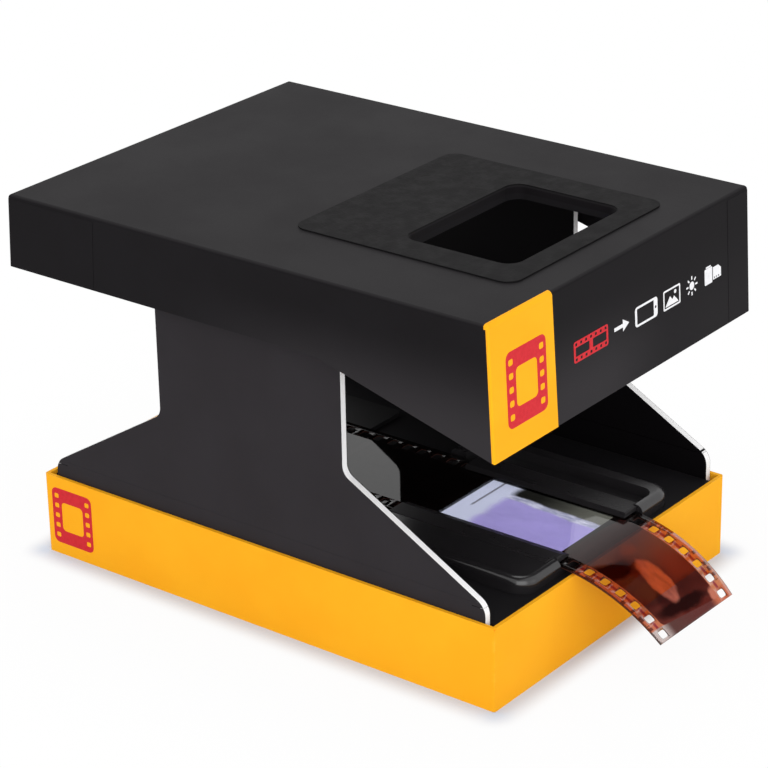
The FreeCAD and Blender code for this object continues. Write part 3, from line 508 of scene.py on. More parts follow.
def circuit_board():
    """White solder mask over faint copper tracks on top, bare laminate below."""
    white = (0.70, 0.72, 0.70)
    paint = Paint("circuit_board_mask", white, 0.35)
    x, _, z = paint.axes()
    lanes = paint.maths("PINGPONG", x, 2.2)
    tracks = paint.band(lanes, 0.5, 1.2, 0.06)
    mask = paint.blend(paint.times(tracks, 0.5), white, (0.52, 0.55, 0.50))
    top = corners_mm("led_board")[1].z
    edge = paint.span(z, top - 0.10, top - 0.04, 1.0, 0.0)
    paint.tint(edge, mask, (0.36, 0.30, 0.16))
    paint.bump(tracks, 0.03)
    return paint.material


def led_package():
    """White lamp packages with a yellow phosphor window on top."""
    white = (0.78, 0.78, 0.74)
    paint = Paint("led_package", white, 0.4)
    _, _, z = paint.axes()
    grain = paint.noise(0.2)
    height = corners_mm("leds")[1].z
    top = paint.span(z, height - 0.06, height - 0.02)
    window = paint.blend(grain, (0.88, 0.72, 0.12), (0.80, 0.62, 0.08))
    paint.tint(top, white, window)
    paint.bump(grain, 0.01)
    return paint.material


def resistor_body():
    """Dark ceramic chips with tinned ends."""
    dark = (0.02, 0.02, 0.022)
    paint = Paint("resistor_chip", dark, 0.4)
    _, y, _ = paint.axes()
    low, high = corners_mm("board_resistors")
    half = (high.y - low.y) / 2
    off_middle = paint.size(paint.plus(y, half - high.y))
    ends = paint.span(off_middle, half - 0.55, half - 0.50)
    grain = paint.noise(0.15)
    tin = paint.blend(grain, (0.62, 0.62, 0.60), (0.48, 0.48, 0.46))
    paint.tint(ends, dark, tin)
    paint.set("Metallic", ends)
    paint.bump(grain, 0.01)
    return paint.material


def battery_sleeve():
    """Shrink sleeve in two plain colours, bare metal at both ends."""
    paint = Paint("battery_sleeve", (0.05, 0.11, 0.20), 0.3)
    x, y, _ = paint.axes()
    front_end = corners_mm("front_battery_cell")[1].y
    front = paint.span(y, front_end + 0.1, front_end + 0.4, 1.0, -1.0)
    along = paint.times(x, front)
    dark_end = paint.span(along, -12.0, -11.8)
    sleeve = paint.blend(dark_end, (0.55, 0.36, 0.06), (0.035, 0.038, 0.045))
    ends = paint.span(paint.size(along), 23.3, 23.5)
    scuff = paint.noise(0.7, 7.0, 0.7, stretch=(5.0, 1.0, 1.0))
    scuffed = paint.blend(paint.span(scuff, 0.6, 0.8, 0.0, 0.4), sleeve, (0.30, 0.30, 0.30))
    paint.tint(ends, scuffed, (0.55, 0.55, 0.53))
    paint.set("Metallic", paint.times(ends, 0.9))
    paint.bump(scuff, 0.008)
    return paint.material


def wire_sheath(name, *tones):
    """Soft insulation with a faint ripple from the strands inside."""
    return grained(name, tones, 0.40, 0.06, 0.5, (0.9, 3.0), 0.02)


def film_base():
    """Developed colour negative, painted along the strip."""
    paint = Paint("film_negative", (0.5, 0.2, 0.1), 0.035)
    paint.set("IOR", FILM_IOR)
    paint.set("Transmission Weight", FILM_CLEAR)
    grazing = paint.node("LayerWeight", {}).outputs["Facing"]
    paint.set("Coat Weight", paint.span(grazing, 0.40, 0.585, 0.0, 0.85))
    chart = paint.node("UVMap", {}, uv_map="along_film")
    place = paint.scaled(chart.outputs[0], CHART_MM)
    across, along, _ = paint.axes(place)
    side = paint.size(across)
    skewed = paint.plus(along, paint.times(across, TIP_FRAME_SKEW))
    rebate = film_rebate(paint, side, across, along, place)
    colour = paint.blend(film_frame(paint, side, skewed, *TIP_FRAME), rebate, film_tip_picture(paint, place))
    lit = film_lit_picture(paint, across, along, place)
    colour = paint.blend(film_frame(paint, side, along, *LIT_FRAME), colour, lit)
    # painted shade on the frames behind the gate
    rear = film_rear_painted_shade(paint, place)
    for ends in REAR_FRAMES:
        colour = paint.blend(film_frame(paint, side, along, *ends), colour, rear)
    paint.set("Base Color", colour)
    paint.bump(paint.noise(6.0, 2.0, 0.4, place=place), 0.02)
    return paint.material


def film_frame(paint, side, along, start, end):
    """One inside a frame with rounded corners, from start to end along the film."""
    off_along = paint.size(paint.plus(along, -(start + end) / 2))
    straight = (end - start) / 2 - FRAME_CORNER
    away = paint.past(side, FRAME_HALF_WIDTH - FRAME_CORNER, off_along, straight)
    return paint.span(away, FRAME_CORNER - 0.08, FRAME_CORNER + 0.08, 1.0, 0.0)


def film_rebate(paint, side, across, along, place):
    """Orange mask round the frames, with a clear tip and plain edge marks; painted shade darkens it from
    just before the gate back.
    """
    uneven = paint.noise(2.5, 4.0, 0.6, place=place)
    mask = paint.blend(uneven, (0.64, 0.24, 0.115), (0.55, 0.19, 0.095))
    left = paint.span(across, -15.0, -9.0, 1.0, 0.0)
    mask = paint.blend(paint.times(left, 0.5), mask, (0.60, 0.15, 0.09))
    phase = paint.maths("PINGPONG", paint.plus(along, -HOLE_FROM_TIP), HOLE_PITCH / 2)
    between = paint.times(paint.span(phase, 1.0, 1.15), paint.band(side, 13.7, 14.6, 0.12))
    mask = paint.blend(paint.times(between, 0.85), mask, (0.27, 0.018, 0.045))
    beats = paint.noise(1.1, 0.0, stretch=(40.0, 1.0, 1.0), place=place)
    dashes = paint.times(paint.span(beats, 0.50, 0.54), paint.band(side, 15.7, 17.0, 0.08))
    groups = paint.span(paint.maths("PINGPONG", along, 9.0), 3.2, 3.4)
    dashes = paint.times(dashes, groups)
    mask = paint.blend(paint.times(dashes, 0.8), mask, (0.10, 0.02, 0.02))
    lilac = paint.blend(paint.span(across, -9.0, 3.0), (0.125, 0.052, 0.046), (0.14, 0.040, 0.036))
    clear = paint.blend(paint.span(across, -13.5, -9.0), (0.60, 0.50, 0.475), lilac)
    warm = paint.blend(paint.span(across, 8.0, 12.0), clear, (0.58, 0.17, 0.09))
    bowed = paint.plus(along, paint.times(side, -0.02))
    tip = paint.span(bowed, CLEAR_TIP_END, CLEAR_TIP_END + 0.5, 1.0, 0.0)
    # painted shade: from here back the rebate is coloured nearly black, for the shade under the guides and
    # the lid
    mask = paint.blend(paint.span(along, FILM_SHADE_START, FILM_SHADE_START + 1.6), mask, FILM_PAINTED_SHADE)
    return paint.blend(tip, mask, warm)


def film_tip_picture(paint, place):
    """A soft dark picture in negative: warm rounded shapes on a maroon ground, with one blob of painted
    shade.
    """
    cloud = paint.noise(8.0, 4.0, 0.55, place=place)
    streak = paint.noise(2.6, 5.0, 0.62, stretch=(1.0, 3.0, 1.0), place=place)
    warm = paint.blend(paint.span(streak, 0.36, 0.64), (0.58, 0.180, 0.125), (0.42, 0.115, 0.080))
    spot = paint.warped(place, 5.0, 1.3)
    picture = paint.blend(paint.span(cloud, 0.35, 0.65), (0.105, 0.014, 0.010), (0.145, 0.032, 0.024))
    layers = (
        ((8.0, 25.0), (9.5, 8.5), 0.0, 0.55, (0.20, 0.085, 0.085), 0.85),
        ((-6.5, 28.5), (8.0, 4.5), 10.0, 0.45, (0.20, 0.090, 0.090), 0.80),
        ((7.5, 13.0), (4.0, 8.0), 0.0, 0.5, (0.200, 0.038, 0.028), 0.75),
        ((6.5, 7.5), (6.0, 3.4), 0.0, 0.4, (0.055, 0.0060, 0.0040), 0.75),
        ((-8.0, 14.0), (3.4, 5.0), 15.0, 0.35, (0.110, 0.036, 0.026), 0.90),
        ((-1.0, 4.9), (10.5, 1.8), -4.0, 0.35, (0.013, 0.0012, 0.0012), 0.94),
        ((-4.5, 9.0), (3.2, 2.2), 30.0, 0.35, (0.040, 0.005, 0.005), 0.80),
        # painted shade: this dark blob stands for the shaded inside of the base seen through the film
        ((-9.4, 22.0), (7.0, 2.9), -8.0, 0.28, (0.028, 0.0026, 0.0024), 0.95),
        ((11.6, 2.6), (2.0, 2.0), 0.0, 0.3, (0.60, 0.20, 0.13), 0.92),
        ((-1.0, 13.4), (3.5, 7.2), -6.0, 0.14, warm, 0.94),
        ((1.2, 25.0), (2.8, 1.7), 8.0, 0.4, (0.27, 0.070, 0.044), 0.7),
    )
    for middle, half, turn, soft, tone, amount in layers:
        mask = paint.times(paint.blob(spot, middle, half, turn, soft), amount)
        picture = paint.blend(mask, picture, tone)
    return picture


def film_lit_picture(paint, across, along, place):
    """The frame over the light: a plain landscape in negative, lavender under a dark sky."""
    cloud = paint.noise(7.0, 5.0, 0.6, stretch=(1.0, 2.2, 1.0), place=place)
    fine = paint.noise(1.2, 4.0, 0.65, stretch=(1.0, 4.0, 1.0), place=place)
    field = paint.blend(paint.span(cloud, 0.3, 0.7), (0.37, 0.32, 0.61), (0.33, 0.285, 0.55))
    field = paint.blend(paint.span(fine, 0.45, 0.75, 0.0, 0.35), field, (0.40, 0.38, 0.62))
    wavy = paint.plus(across, paint.times(paint.plus(cloud, -0.5), 4.0))
    wavy = paint.plus(wavy, paint.times(paint.plus(along, -46.0), -0.06))
    light = paint.blend(paint.span(fine, 0.35, 0.6), (0.57, 0.57, 0.67), (0.32, 0.33, 0.45))
    picture = paint.blend(paint.span(wavy, 3.4, 4.2), field, light)
    depth = paint.span(paint.plus(along, paint.times(cloud, 8.0)), 42.0, 62.0)
    sky = paint.blend(depth, (0.13, 0.13, 0.11), (0.012, 0.012, 0.010))
    picture = paint.blend(paint.span(wavy, 5.9, 6.9), picture, sky)
    back = paint.span(paint.plus(along, paint.times(cloud, 4.0)), 64.0, 67.0)
    picture = paint.blend(back, picture, (0.54, 0.56, 0.68))
    line = paint.times(paint.band(along, 68.2, 68.8, 0.12), paint.span(across, -4.0, -2.0))
    return paint.blend(paint.times(line, 0.75), picture, (0.06, 0.05, 0.06))


def film_edge():
    """The cut edges of the film: dark, with a faint grain."""
    tones = ((0.09, 0.032, 0.022), (0.06, 0.018, 0.014))
    return grained("film_cut_edge", tones, 0.5, 0.0, 0.1, (0.3, 3.0), 0.004)


def film_rear_painted_shade(paint, place):
    """Frames behind the light: painted shade, coloured nearly black for the shade under the lid."""
    cloud = paint.noise(8.0, 5.0, 0.6, place=place)
    return paint.blend(paint.span(cloud, 0.35, 0.65), (0.010, 0.005, 0.005), (0.024, 0.010, 0.009))


# Mesh helpers


def corners_mm(name):
    """The lowest and highest corner of a node of the frame, in mm."""
    return [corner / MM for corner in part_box(name)]


def add_object(name, data):
    made = bpy.data.objects.new(name, data)
    bpy.context.scene.collection.objects.link(made)
    return made


def piece(name, vertices, faces, material, body, slot):
    """A mesh from places in mm, riding on a body, with one material."""
    mesh = bpy.data.meshes.new(name)
    mesh.from_pydata([Vector(v) * MM for v in vertices], [], faces)
    mesh.validate()
    mesh.materials.append(material)
    mesh.update()
    made = add_object(name, mesh)
    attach(made, body)


def prism(outline, low, high, shift=0.0):
    """Vertices and faces of an upright prism; shift moves its top along y."""
    count = len(outline)
    turns = zip(outline, outline[1:] + outline[:1])
    if sum(x0 * y1 - x1 * y0 for (x0, y0), (x1, y1) in turns) < 0:
        outline = outline[::-1]
    vertices = [(x, y, low) for x, y in outline] + [(x, y + shift, high) for x, y in outline]
    faces = [tuple(reversed(range(count))), tuple(range(count, 2 * count))]
    faces += [(i, (i + 1) % count, count + (i + 1) % count, count + i) for i in range(count)]
    return vertices, faces


def arc_points(middle_x, middle_y, radius, start, end, steps):
    turns = [start + (end - start) * i / steps for i in range(steps + 1)]
    return [(middle_x + radius * math.cos(math.radians(t)), middle_y + radius * math.sin(math.radians(t)))
            for t in turns]


def rounded_loop(middle_x, middle_y, width, height, radius, steps=5):
    """A rounded rectangle as a loop of points."""
    half_x = width / 2 - radius
    half_y = height / 2 - radius
    corners = [(half_x, half_y, 0), (-half_x, half_y, 90), (-half_x, -half_y, 180), (half_x, -half_y, 270)]
    loop = []
    for x, y, start in corners:
        loop += arc_points(middle_x + x, middle_y + y, radius, start, start + 90, steps)
    return loop


def circle_loop(middle_x, middle_y, radius, steps):
    return arc_points(middle_x, middle_y, radius, 0, 360, steps)[:-1]


def printed_mark(name, loops, origin, right, up, material, body):
    """Thin closed ink shapes standing on a face: loops inside loops are holes."""
    curve = bpy.data.curves.new(name + "_outline", "CURVE")
    curve.dimensions = "2D"
    curve.fill_mode = "BOTH"
    curve.extrude = INK_THICKNESS / 2 * MM
    for loop in loops:
        spline = curve.splines.new("POLY")
        spline.points.add(len(loop) - 1)
        for point, (x, y) in zip(spline.points, loop):
            point.co = (x * MM, y * MM, 0.0, 1.0)
        spline.use_cyclic_u = True
    holder = add_object(name + "_outline", curve)
    bpy.context.view_layer.update()
    mesh = bpy.data.meshes.new_from_object(holder)
    bpy.data.objects.remove(holder)
    mesh.name = name
    outward = right.cross(up)
    turn = Matrix((right, up, outward)).transposed().to_4x4()
    lift = outward * (INK_THICKNESS / 2 + INK_GAP)
    mesh.transform(Matrix.Translation((origin + lift) * MM) @ turn)
    mesh.materials.clear()
    mesh.materials.append(material)
    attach(add_object(name, mesh), body)


# Printed marks


def film_frame_loops(width, height, radius, rows, hole, margin):
    """A piece of film seen flat: a rounded plate, two columns of holes and a window."""
    loops = [rounded_loop(0, 0, width, height, radius)]
    pitch = (height - 2 * margin) / rows
    for row in range(rows):
        y = margin - height / 2 + pitch * (row + 0.5)
        for side in (-1, 1):
            x = side * (width / 2 - margin - hole / 2)
            loops.append(rounded_loop(x, y, hole, hole * 0.9, hole * 0.25, 3))
    window_width = width - 2 * (2 * margin + hole)
    return loops + [rounded_loop(0, 0, window_width, height * 0.52, radius * 0.7)]


def film_piece_loops(start, length, height):
    """A short strip of film with two windows."""
    loops = [rounded_loop(start + length / 2, 0, length, height, 0.6)]
    count = 7
    for i in range(count):
        x = start + length * (i + 0.5) / count
        for side in (-1, 1):
            loops.append(rounded_loop(x, side * (height / 2 - 0.75), 0.8, 0.7, 0.15, 2))
    for i in range(2):
        x = start + length * (i + 0.5) / 2
        loops.append(rounded_loop(x, 0, length / 2 - 1.4, height - 3.0, 0.3, 3))
    return loops


def arrow_loops(start):
    """An arrow that points to the right."""
    half = [(0, 0.45), (3.6, 0.45), (3.6, 1.5), (6.2, 0)]
    return [[(start + x, -y) for x, y in half] + [(start + x, y) for x, y in half[2::-1]]]


def screen_loops(start):
    """A small screen lying on its side, as an outline with a button."""
    frame = [rounded_loop(start + 4.8, 0, 9.6, 5.0, 0.9), rounded_loop(start + 4.4, 0, 7.2, 3.9, 0.25)]
    return frame + [circle_loop(start + 8.8, 0, 0.38, 12)]


def picture_loops(start):
    """A framed picture of two hills and a sun."""
    frame = [rounded_loop(start + 3.7, 0, 7.4, 5.0, 0.4), rounded_loop(start + 3.7, 0, 6.5, 4.1, 0.2)]
    hills = [(0.8, -1.75), (2.9, 0.55), (3.9, -0.55), (4.7, 0.15), (6.6, -1.75)]
    return frame + [[(start + x, y) for x, y in hills], circle_loop(start + 5.2, 1.1, 0.5, 12)]


def sun_loops(start):
    """A lamp symbol: a disc with eight rays."""
    centre = start + 2.6
    loops = [circle_loop(centre, 0, 1.05, 16)]
    for i in range(8):
        turn = math.radians(45 * i)
        along = Vector((math.cos(turn), math.sin(turn)))
        off = Vector((-along.y, along.x)) * 0.22
        near = along * 1.55
        far = along * 2.45
        corners = [near - off, far - off, far + off, near + off]
        loops.append([(centre + c.x, c.y) for c in corners])
    return loops


def canister_loops(start):
    """A film canister with a tongue of film."""
    can = start + 1.7
    loops = [rounded_loop(can, 0, 3.4, 4.1, 0.3), rounded_loop(can, 2.35, 2.2, 0.45, 0.12, 2)]
    tongue = [(3.75, -1.6), (7.4, -1.6), (7.4, 0.6), (6.2, 1.6), (3.75, 1.6)]
    loops.append([(start + x, y) for x, y in tongue])
    for i in range(3):
        loops.append(rounded_loop(start + 4.4 + 0.95 * i, -1.15, 0.45, 0.42, 0.1, 2))
    return loops


def add_marks(red, white):
    """Generic film pictures where such boxes carry print."""
    accent, _ = corners_mm("accent_strip")
    base, _ = corners_mm("base_tray")
    lid_front = (Vector((1, 0, 0)), Vector((0, LID_LEAN, 1)).normalized())
    base_left = (Vector((0, -1, 0)), Vector((0, 0, 1)))
    place = Vector((ACCENT_MARK_X, accent.y + LID_LEAN * (MARK_HEIGHT - accent.z), MARK_HEIGHT))
    badge = film_frame_loops(15.4, 18.4, 1.8, 5, 1.7, 0.95)
    printed_mark("accent_mark", badge, place, *lid_front, red, "lid")
    small = film_frame_loops(13.6, 15.6, 1.6, 5, 1.45, 0.85)
    place = Vector((base.x, BASE_MARK_Y, BASE_MARK_HEIGHT))
    printed_mark("base_mark", small, place, *base_left, red, "base")
    row = (
        ("film", film_piece_loops(-22.0, 14.0, 5.2), red),
        ("arrow", arrow_loops(-5.4), white),
        ("phone", screen_loops(3.4), white),
        ("picture", picture_loops(15.6), white),
        ("lamp", sun_loops(25.6), white),
        ("canister", canister_loops(34.0), white),
    )
    place = Vector((0, lid_face(MARK_HEIGHT, -1), MARK_HEIGHT))
    for label, loops, ink in row:
        printed_mark("lid_mark_" + label, loops, place, *lid_front, ink, "lid")


# Paper details


def lid_face(z, side):
    """Where the lid's front (side -1) or rear (side 1) face stands at a height."""
    low, _ = corners_mm("lid_shell")
    return side * (-low.y - LID_LEAN * (z - low.z))


def corner_lap(corner_x, face_y, reach):
    """Outline of paper that goes round one of the lid's rounded upright corners."""
    side_x = math.copysign(1, corner_x)
    side_y = math.copysign(1, face_y)
    middle_x = corner_x - side_x * LID_CORNER
    middle_y = face_y - side_y * LID_CORNER
    end_x = corner_x - side_x * reach[0]
    end_y = face_y - side_y * reach[1]
    rows = []
    for radius in (LID_CORNER, LID_CORNER + LID_LAP_THICKNESS):
        quarter = arc_points(0, 0, radius, 90, 0, 6)
        bend = [(middle_x + side_x * abs(x), middle_y + side_y * abs(y)) for x, y in quarter]
        rows.append([(end_x, bend[0][1])] + bend + [(bend[-1][0], end_y)])
    return rows[0] + rows[1][::-1]


def lid_paper(name, outline, low, high, side, material):
    """A sheet of the lid's paper; it leans with the front (side -1) or rear (side 1) face, or stands (0)."""
    shift = side * LID_LEAN * (low - high)
    piece(name, *prism(outline, low, high, shift), material, "lid", "lid_board")


def add_lid_seams(material):
    """Edges of the wrapping paper where it laps over itself on the lid."""
    low, high = corners_mm("lid_shell")
    laps = (
        ("lid_corner_lap", -1, low.z + 0.1, LID_CORNER_LAP_REACH),
        ("lid_rear_lap", 1, LID_SIDE_BOTTOM + 0.15, LID_REAR_LAP_REACH),
    )
    for name, side, bottom, reach in laps:
        outline = corner_lap(-side * high.x, lid_face(bottom, side), reach)
        lid_paper(name, outline, bottom, high.z - LID_TOP_ROUND, side, material)


def add_lid_turn_ins(material):
    """Paper turned in and glued up the inside of the lid's skirts."""
    low, high = corners_mm("lid_shell")
    inner = high.x - LID_BOARD
    long_x = inner - 0.5
    ends = (
        ("front", -1, low.z + 0.3, low.z + TURN_IN_HEIGHT),
        ("rear", 1, TURN_IN_LOW, TURN_IN_HIGH),
    )
    for name, side, bottom, top in ends:
        face = lid_face(bottom, side) - side * LID_BOARD
        thin = face - side * TURN_IN_THICKNESS
        outline = [(-long_x, face), (long_x, face), (long_x, thin), (-long_x, thin)]
        lid_paper("lid_turn_in_" + name, outline, bottom, top, side, material)
    near = TURN_IN_FRONT_END
    far = lid_face(TURN_IN_HIGH, 1) - LID_BOARD - 0.6
    for name, side in (("left", -1), ("right", 1)):
        face = side * inner
        thin = side * (inner - TURN_IN_THICKNESS)
        outline = [(face, near), (face, far), (thin, far), (thin, near)]
        lid_paper("lid_turn_in_" + name, outline, TURN_IN_LOW, TURN_IN_HIGH, 0, material)


def add_base_seam(material):
    """The wrapping paper's lap at the base's front left corner."""
    low, high = corners_mm("base_tray")
    out_x = low.x - BASE_LAP_THICKNESS
    out_y = low.y - BASE_LAP_THICKNESS
    end_x = low.x + BASE_LAP_REACH
    end_y = low.y + BASE_LAP_REACH
    outline = [(out_x, end_y), (out_x, out_y), (end_x, out_y)]
    outline += [(end_x, low.y), (low.x, low.y), (low.x, end_y)]
    piece("base_corner_lap", *prism(outline, 0.2, high.z - 0.3), material, "base", "base_board")


def add_crease_flaps(material):
    """Thin paper on each panel's outer face that covers the crease."""
    for side, name in ((-1, "left"), (1, "right")):
        low, high = corners_mm(name + "_side_panel")
        outer = low.x if side < 0 else high.x
        far = outer + CREASE_FLAP_THICKNESS * side
        near_y = low.y + CREASE_FLAP_INSET
        far_y = high.y - CREASE_FLAP_INSET
        outline = [(outer, near_y), (far, near_y), (far, far_y), (outer, far_y)]
        flap = prism(outline, low.z - CREASE_FLAP_BELOW, low.z + CREASE_FLAP_ABOVE)
        piece(name + "_crease_flap", *flap, material, name + "_panel", "panel_board")


# Film


def film_point(across, along):
    """A place on the film's middle surface; along is from the tip."""
    past = CURL_LENGTH - along
    if past <= 0:
        return Vector((across, CURL_START - past, FILM_HEIGHT))
    turn = past / CURL_RADIUS
    y = CURL_START - CURL_RADIUS * math.sin(turn)
    z = FILM_HEIGHT - CURL_RADIUS * (1 - math.cos(turn))
    share = past / CURL_LENGTH
    twist = CURL_TWIST * share * share
    up = Vector((0, -math.sin(turn), math.cos(turn)))
    right = Vector((math.cos(twist), 0, 0)) - up * math.sin(twist)
    return Vector((CURL_DRIFT * past * past, y, z)) + right * across


def film_columns():
    """Places across the film where its grid has lines."""
    inner = HOLE_OFFSET - HOLE_CELL_HALF
    third = 2 * HOLE_CELL_HALF / 3
    cell = [inner + third * i for i in range(4)]
    half = FILM_WIDTH / 2
    middle = [inner * i / 4 for i in range(-3, 4)]
    return [-half] + [-c for c in reversed(cell)] + middle + cell + [half]


def film_rows():
    """Places along the film where its grid has lines, three to each perforation."""
    total = FILM_TAIL - CURL_START + CURL_LENGTH
    third = HOLE_PITCH / 3
    first = HOLE_FROM_TIP - HOLE_PITCH / 2
    rows = []
    while first + third * len(rows) < total - 0.2:
        rows.append(max(first + third * len(rows), 0.0))
    return rows + [total]


def hole_ring(middle_across, middle_along):
    """Twelve points round a perforation, in the order of its cell's outer points."""
    in_x = HOLE_HALF_ACROSS - HOLE_CORNER
    in_y = HOLE_HALF_ALONG - HOLE_CORNER
    bend = HOLE_CORNER * math.sqrt(0.5)
    ring = []
    for sx, sy in ((-1, -1), (1, -1), (1, 1), (-1, 1)):
        corner = (sx * (in_x + bend), sy * (in_y + bend))
        flat = (sx * in_x, sy * HOLE_HALF_ALONG)
        side = (sx * HOLE_HALF_ACROSS, sy * in_y)
        ring += (side, corner, flat) if sx * sy > 0 else (flat, corner, side)
    return [(middle_across + x, middle_along + y) for x, y in ring]


def film_sheet():
    """The film's middle surface as flat places and faces, with the perforations left open."""
    columns = film_columns()
    rows = film_rows()
    places = [(x, s) for s in rows for x in columns]
    width = len(columns)
    faces = []
    hole_columns = (1, width - 5)
    last_row = len(rows) - 1
    for r in range(last_row):
        in_hole_row = r // 3 * 3 + 3 <= last_row - 1
        for c in range(width - 1):
            if in_hole_row and any(start <= c < start + 3 for start in hole_columns):
                continue
            first = r * width + c
            faces.append((first, first + 1, first + width + 1, first + width))
    for r in range(0, last_row - 3, 3):
        for start in hole_columns:
            add_hole_cell(places, faces, width, r, start)
    return places, faces


def add_hole_cell(places, faces, width, row, column):
    """Joins a cell's twelve outer points to the ring round its perforation."""
    around = ((1, 0), (0, 0), (0, 1), (0, 2), (0, 3), (1, 3), (2, 3), (3, 3), (3, 2), (3, 1), (3, 0), (2, 0))
    outer = [(row + r) * width + column + c for r, c in around]
    middle_across = (places[outer[1]][0] + places[outer[4]][0]) / 2
    middle_along = places[outer[10]][1] - HOLE_PITCH / 2
    first = len(places)
    places.extend(hole_ring(middle_across, middle_along))
    for i in range(12):
        j = (i + 1) % 12
        faces.append((outer[i], outer[j], first + j, first + i))


def add_film(material, edge):
    """The strip: flat in the tray, curling down and twisting a little at its front."""
    places, faces = film_sheet()
    mesh = bpy.data.meshes.new("negative_strip")
    mesh.from_pydata([film_point(x, s) * MM for x, s in places], [], faces)
    chart = mesh.uv_layers.new(name="along_film")
    for loop in mesh.loops:
        x, s = places[loop.vertex_index]
        chart.data[loop.index].uv = (x / CHART_MM, s / CHART_MM)
    mesh.polygons.foreach_set("use_smooth", [True] * len(mesh.polygons))
    mesh.materials.append(material)
    mesh.materials.append(edge)
    mesh.validate()
    film = add_object("negative_strip", mesh)
    solid = film.modifiers.new("film_thickness", "SOLIDIFY")
    solid.thickness = FILM_THICKNESS * MM
    solid.offset = 0.0
    solid.use_even_offset = True
    solid.material_offset_rim = 1
    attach(film, "film")
    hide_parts("film_strip")


# Stage, light and camera


def add_floor():
    """A pale flat floor that keeps the object's shadow."""
    line = [FLOOR_SIZE * (i / FLOOR_STEPS - 0.5) for i in range(FLOOR_STEPS + 1)]
    count = len(line)
    corners = [r * count + c for r in range(FLOOR_STEPS) for c in range(FLOOR_STEPS)]
    faces = [(i, i + 1, i + count + 1, i + count) for i in corners]
    mesh = bpy.data.meshes.new("floor")
    mesh.from_pydata([(x, y, 0.0) for y in line for x in line], [], faces)
    mesh.materials.append(floor_material())
    add_object("floor", mesh)


def floor_material():
    """Pale card that shades close to the base and is white to the camera further out; right by the base its
    colour has painted shade, darker and bluer against the yellow bounce.
    """
    paint = Paint("floor_pale", FLOOR_PALE, 0.7, 0.0)
    pale = paint.blend(paint.noise(300.0, 2.0), FLOOR_PALE, FLOOR_PALE_SHADED)
    x, y, _ = paint.axes()
    _, base = corners_mm("base_tray")
    away = paint.past(paint.size(x), base.x, paint.size(y), base.y)
    # painted shade: close to the base the floor is coloured darker and bluer, against the yellow light
    # bounced off the base
    paint.tint(paint.span(away, 0.0, FLOOR_PAINTED_SHADE_REACH), FLOOR_PAINTED_SHADE_BY_BASE, pale)
    near = paint.span(away, 0.0, FLOOR_SHADE_REACH, FLOOR_GLOW_NEAR, FLOOR_GLOW_WIDE)
    rise = paint.span(away, FLOOR_SHADE_REACH, FLOOR_WHITE_REACH, 0.0, 1.0 - FLOOR_GLOW_WIDE)
    far = paint.plus(near, rise)
    glow = paint.node("Emission", {"Color": (1.0, 1.0, 1.0), "Strength": 1.0}).outputs[0]
    seen = paint.times(seen_directly(paint.tree), far)
    mixer = paint.node("MixShader", {0: seen, 1: paint.shader.outputs[0], 2: glow})
    output = [n for n in paint.tree.nodes if n.type == "OUTPUT_MATERIAL"][0]
    paint.join(output.inputs["Surface"], mixer.outputs[0])
    return paint.material


def add_sky():
    """White to the camera and in reflections, softer as light on the object."""
    world = bpy.data.worlds.new("studio")
    bpy.context.scene.world = world
    world.use_nodes = True
    tree = world.node_tree
    background = tree.nodes["Background"]
    background.inputs["Color"].default_value = (1.0, 1.0, 1.0, 1.0)
    strength = tree.nodes.new("ShaderNodeMapRange")
    tree.links.new(seen_directly(tree), strength.inputs["Value"])
    strength.inputs["To Min"].default_value = SKY_STRENGTH
    strength.inputs["To Max"].default_value = 1.0
    tree.links.new(strength.outputs["Result"], background.inputs["Strength"])


def add_lamp(name, place, aim, size, power):
    data = bpy.data.lights.new(name, "AREA")
    data.shape = "RECTANGLE"
    data.size, data.size_y = size
    data.energy = power
    lamp = add_object(name, data)
    lamp.location = Vector(place)
    lamp.rotation_euler = (Vector(aim) - Vector(place)).to_track_quat("-Z", "Y").to_euler()


def add_lamps():
    """A soft key from the front left, a weak fill from the front and a top light."""
    aim = (0.0, 0.0, 0.05)
    add_lamp("key", (-0.50, -0.45, 0.28), aim, (0.6, 0.6), 2.1)
    add_lamp("fill", (0.15, -1.20, 0.45), aim, (0.6, 0.6), 0.6)
    add_lamp("top", (0.1, 0.35, 1.1), aim, (0.9, 0.6), 2.0)


def add_camera():
    """The camera at the photograph's angle."""
    azimuth = math.radians(CAMERA_AZIMUTH)
    elevation = math.radians(CAMERA_ELEVATION)
    roll = math.radians(CAMERA_ROLL)
    level = math.cos(elevation)
    back = Vector((math.sin(azimuth) * level, -math.cos(azimuth) * level, math.sin(elevation)))
    flat_right = Vector((math.cos(azimuth), math.sin(azimuth), 0.0))
    flat_up = back.cross(flat_right)
    right = flat_right * math.cos(roll) + flat_up * math.sin(roll)
    up = flat_up * math.cos(roll) - flat_right * math.sin(roll)
    target = Vector((0.0, 0.0, CAMERA_AIM_HEIGHT)) + right * CAMERA_SLIDE_RIGHT + up * CAMERA_SLIDE_UP
    eye = (target + back * CAMERA_DISTANCE) * MM
    data = bpy.data.cameras.new("camera")
    data.sensor_width = CAMERA_SENSOR
    data.lens = CAMERA_LENS
    data.clip_end = 20.0
    camera = add_object("camera", data)
    camera.matrix_world = Matrix.Translation(eye) @ Matrix((right, up, back)).transposed().to_4x4()
    bpy.context.scene.camera = camera


# The whole scene


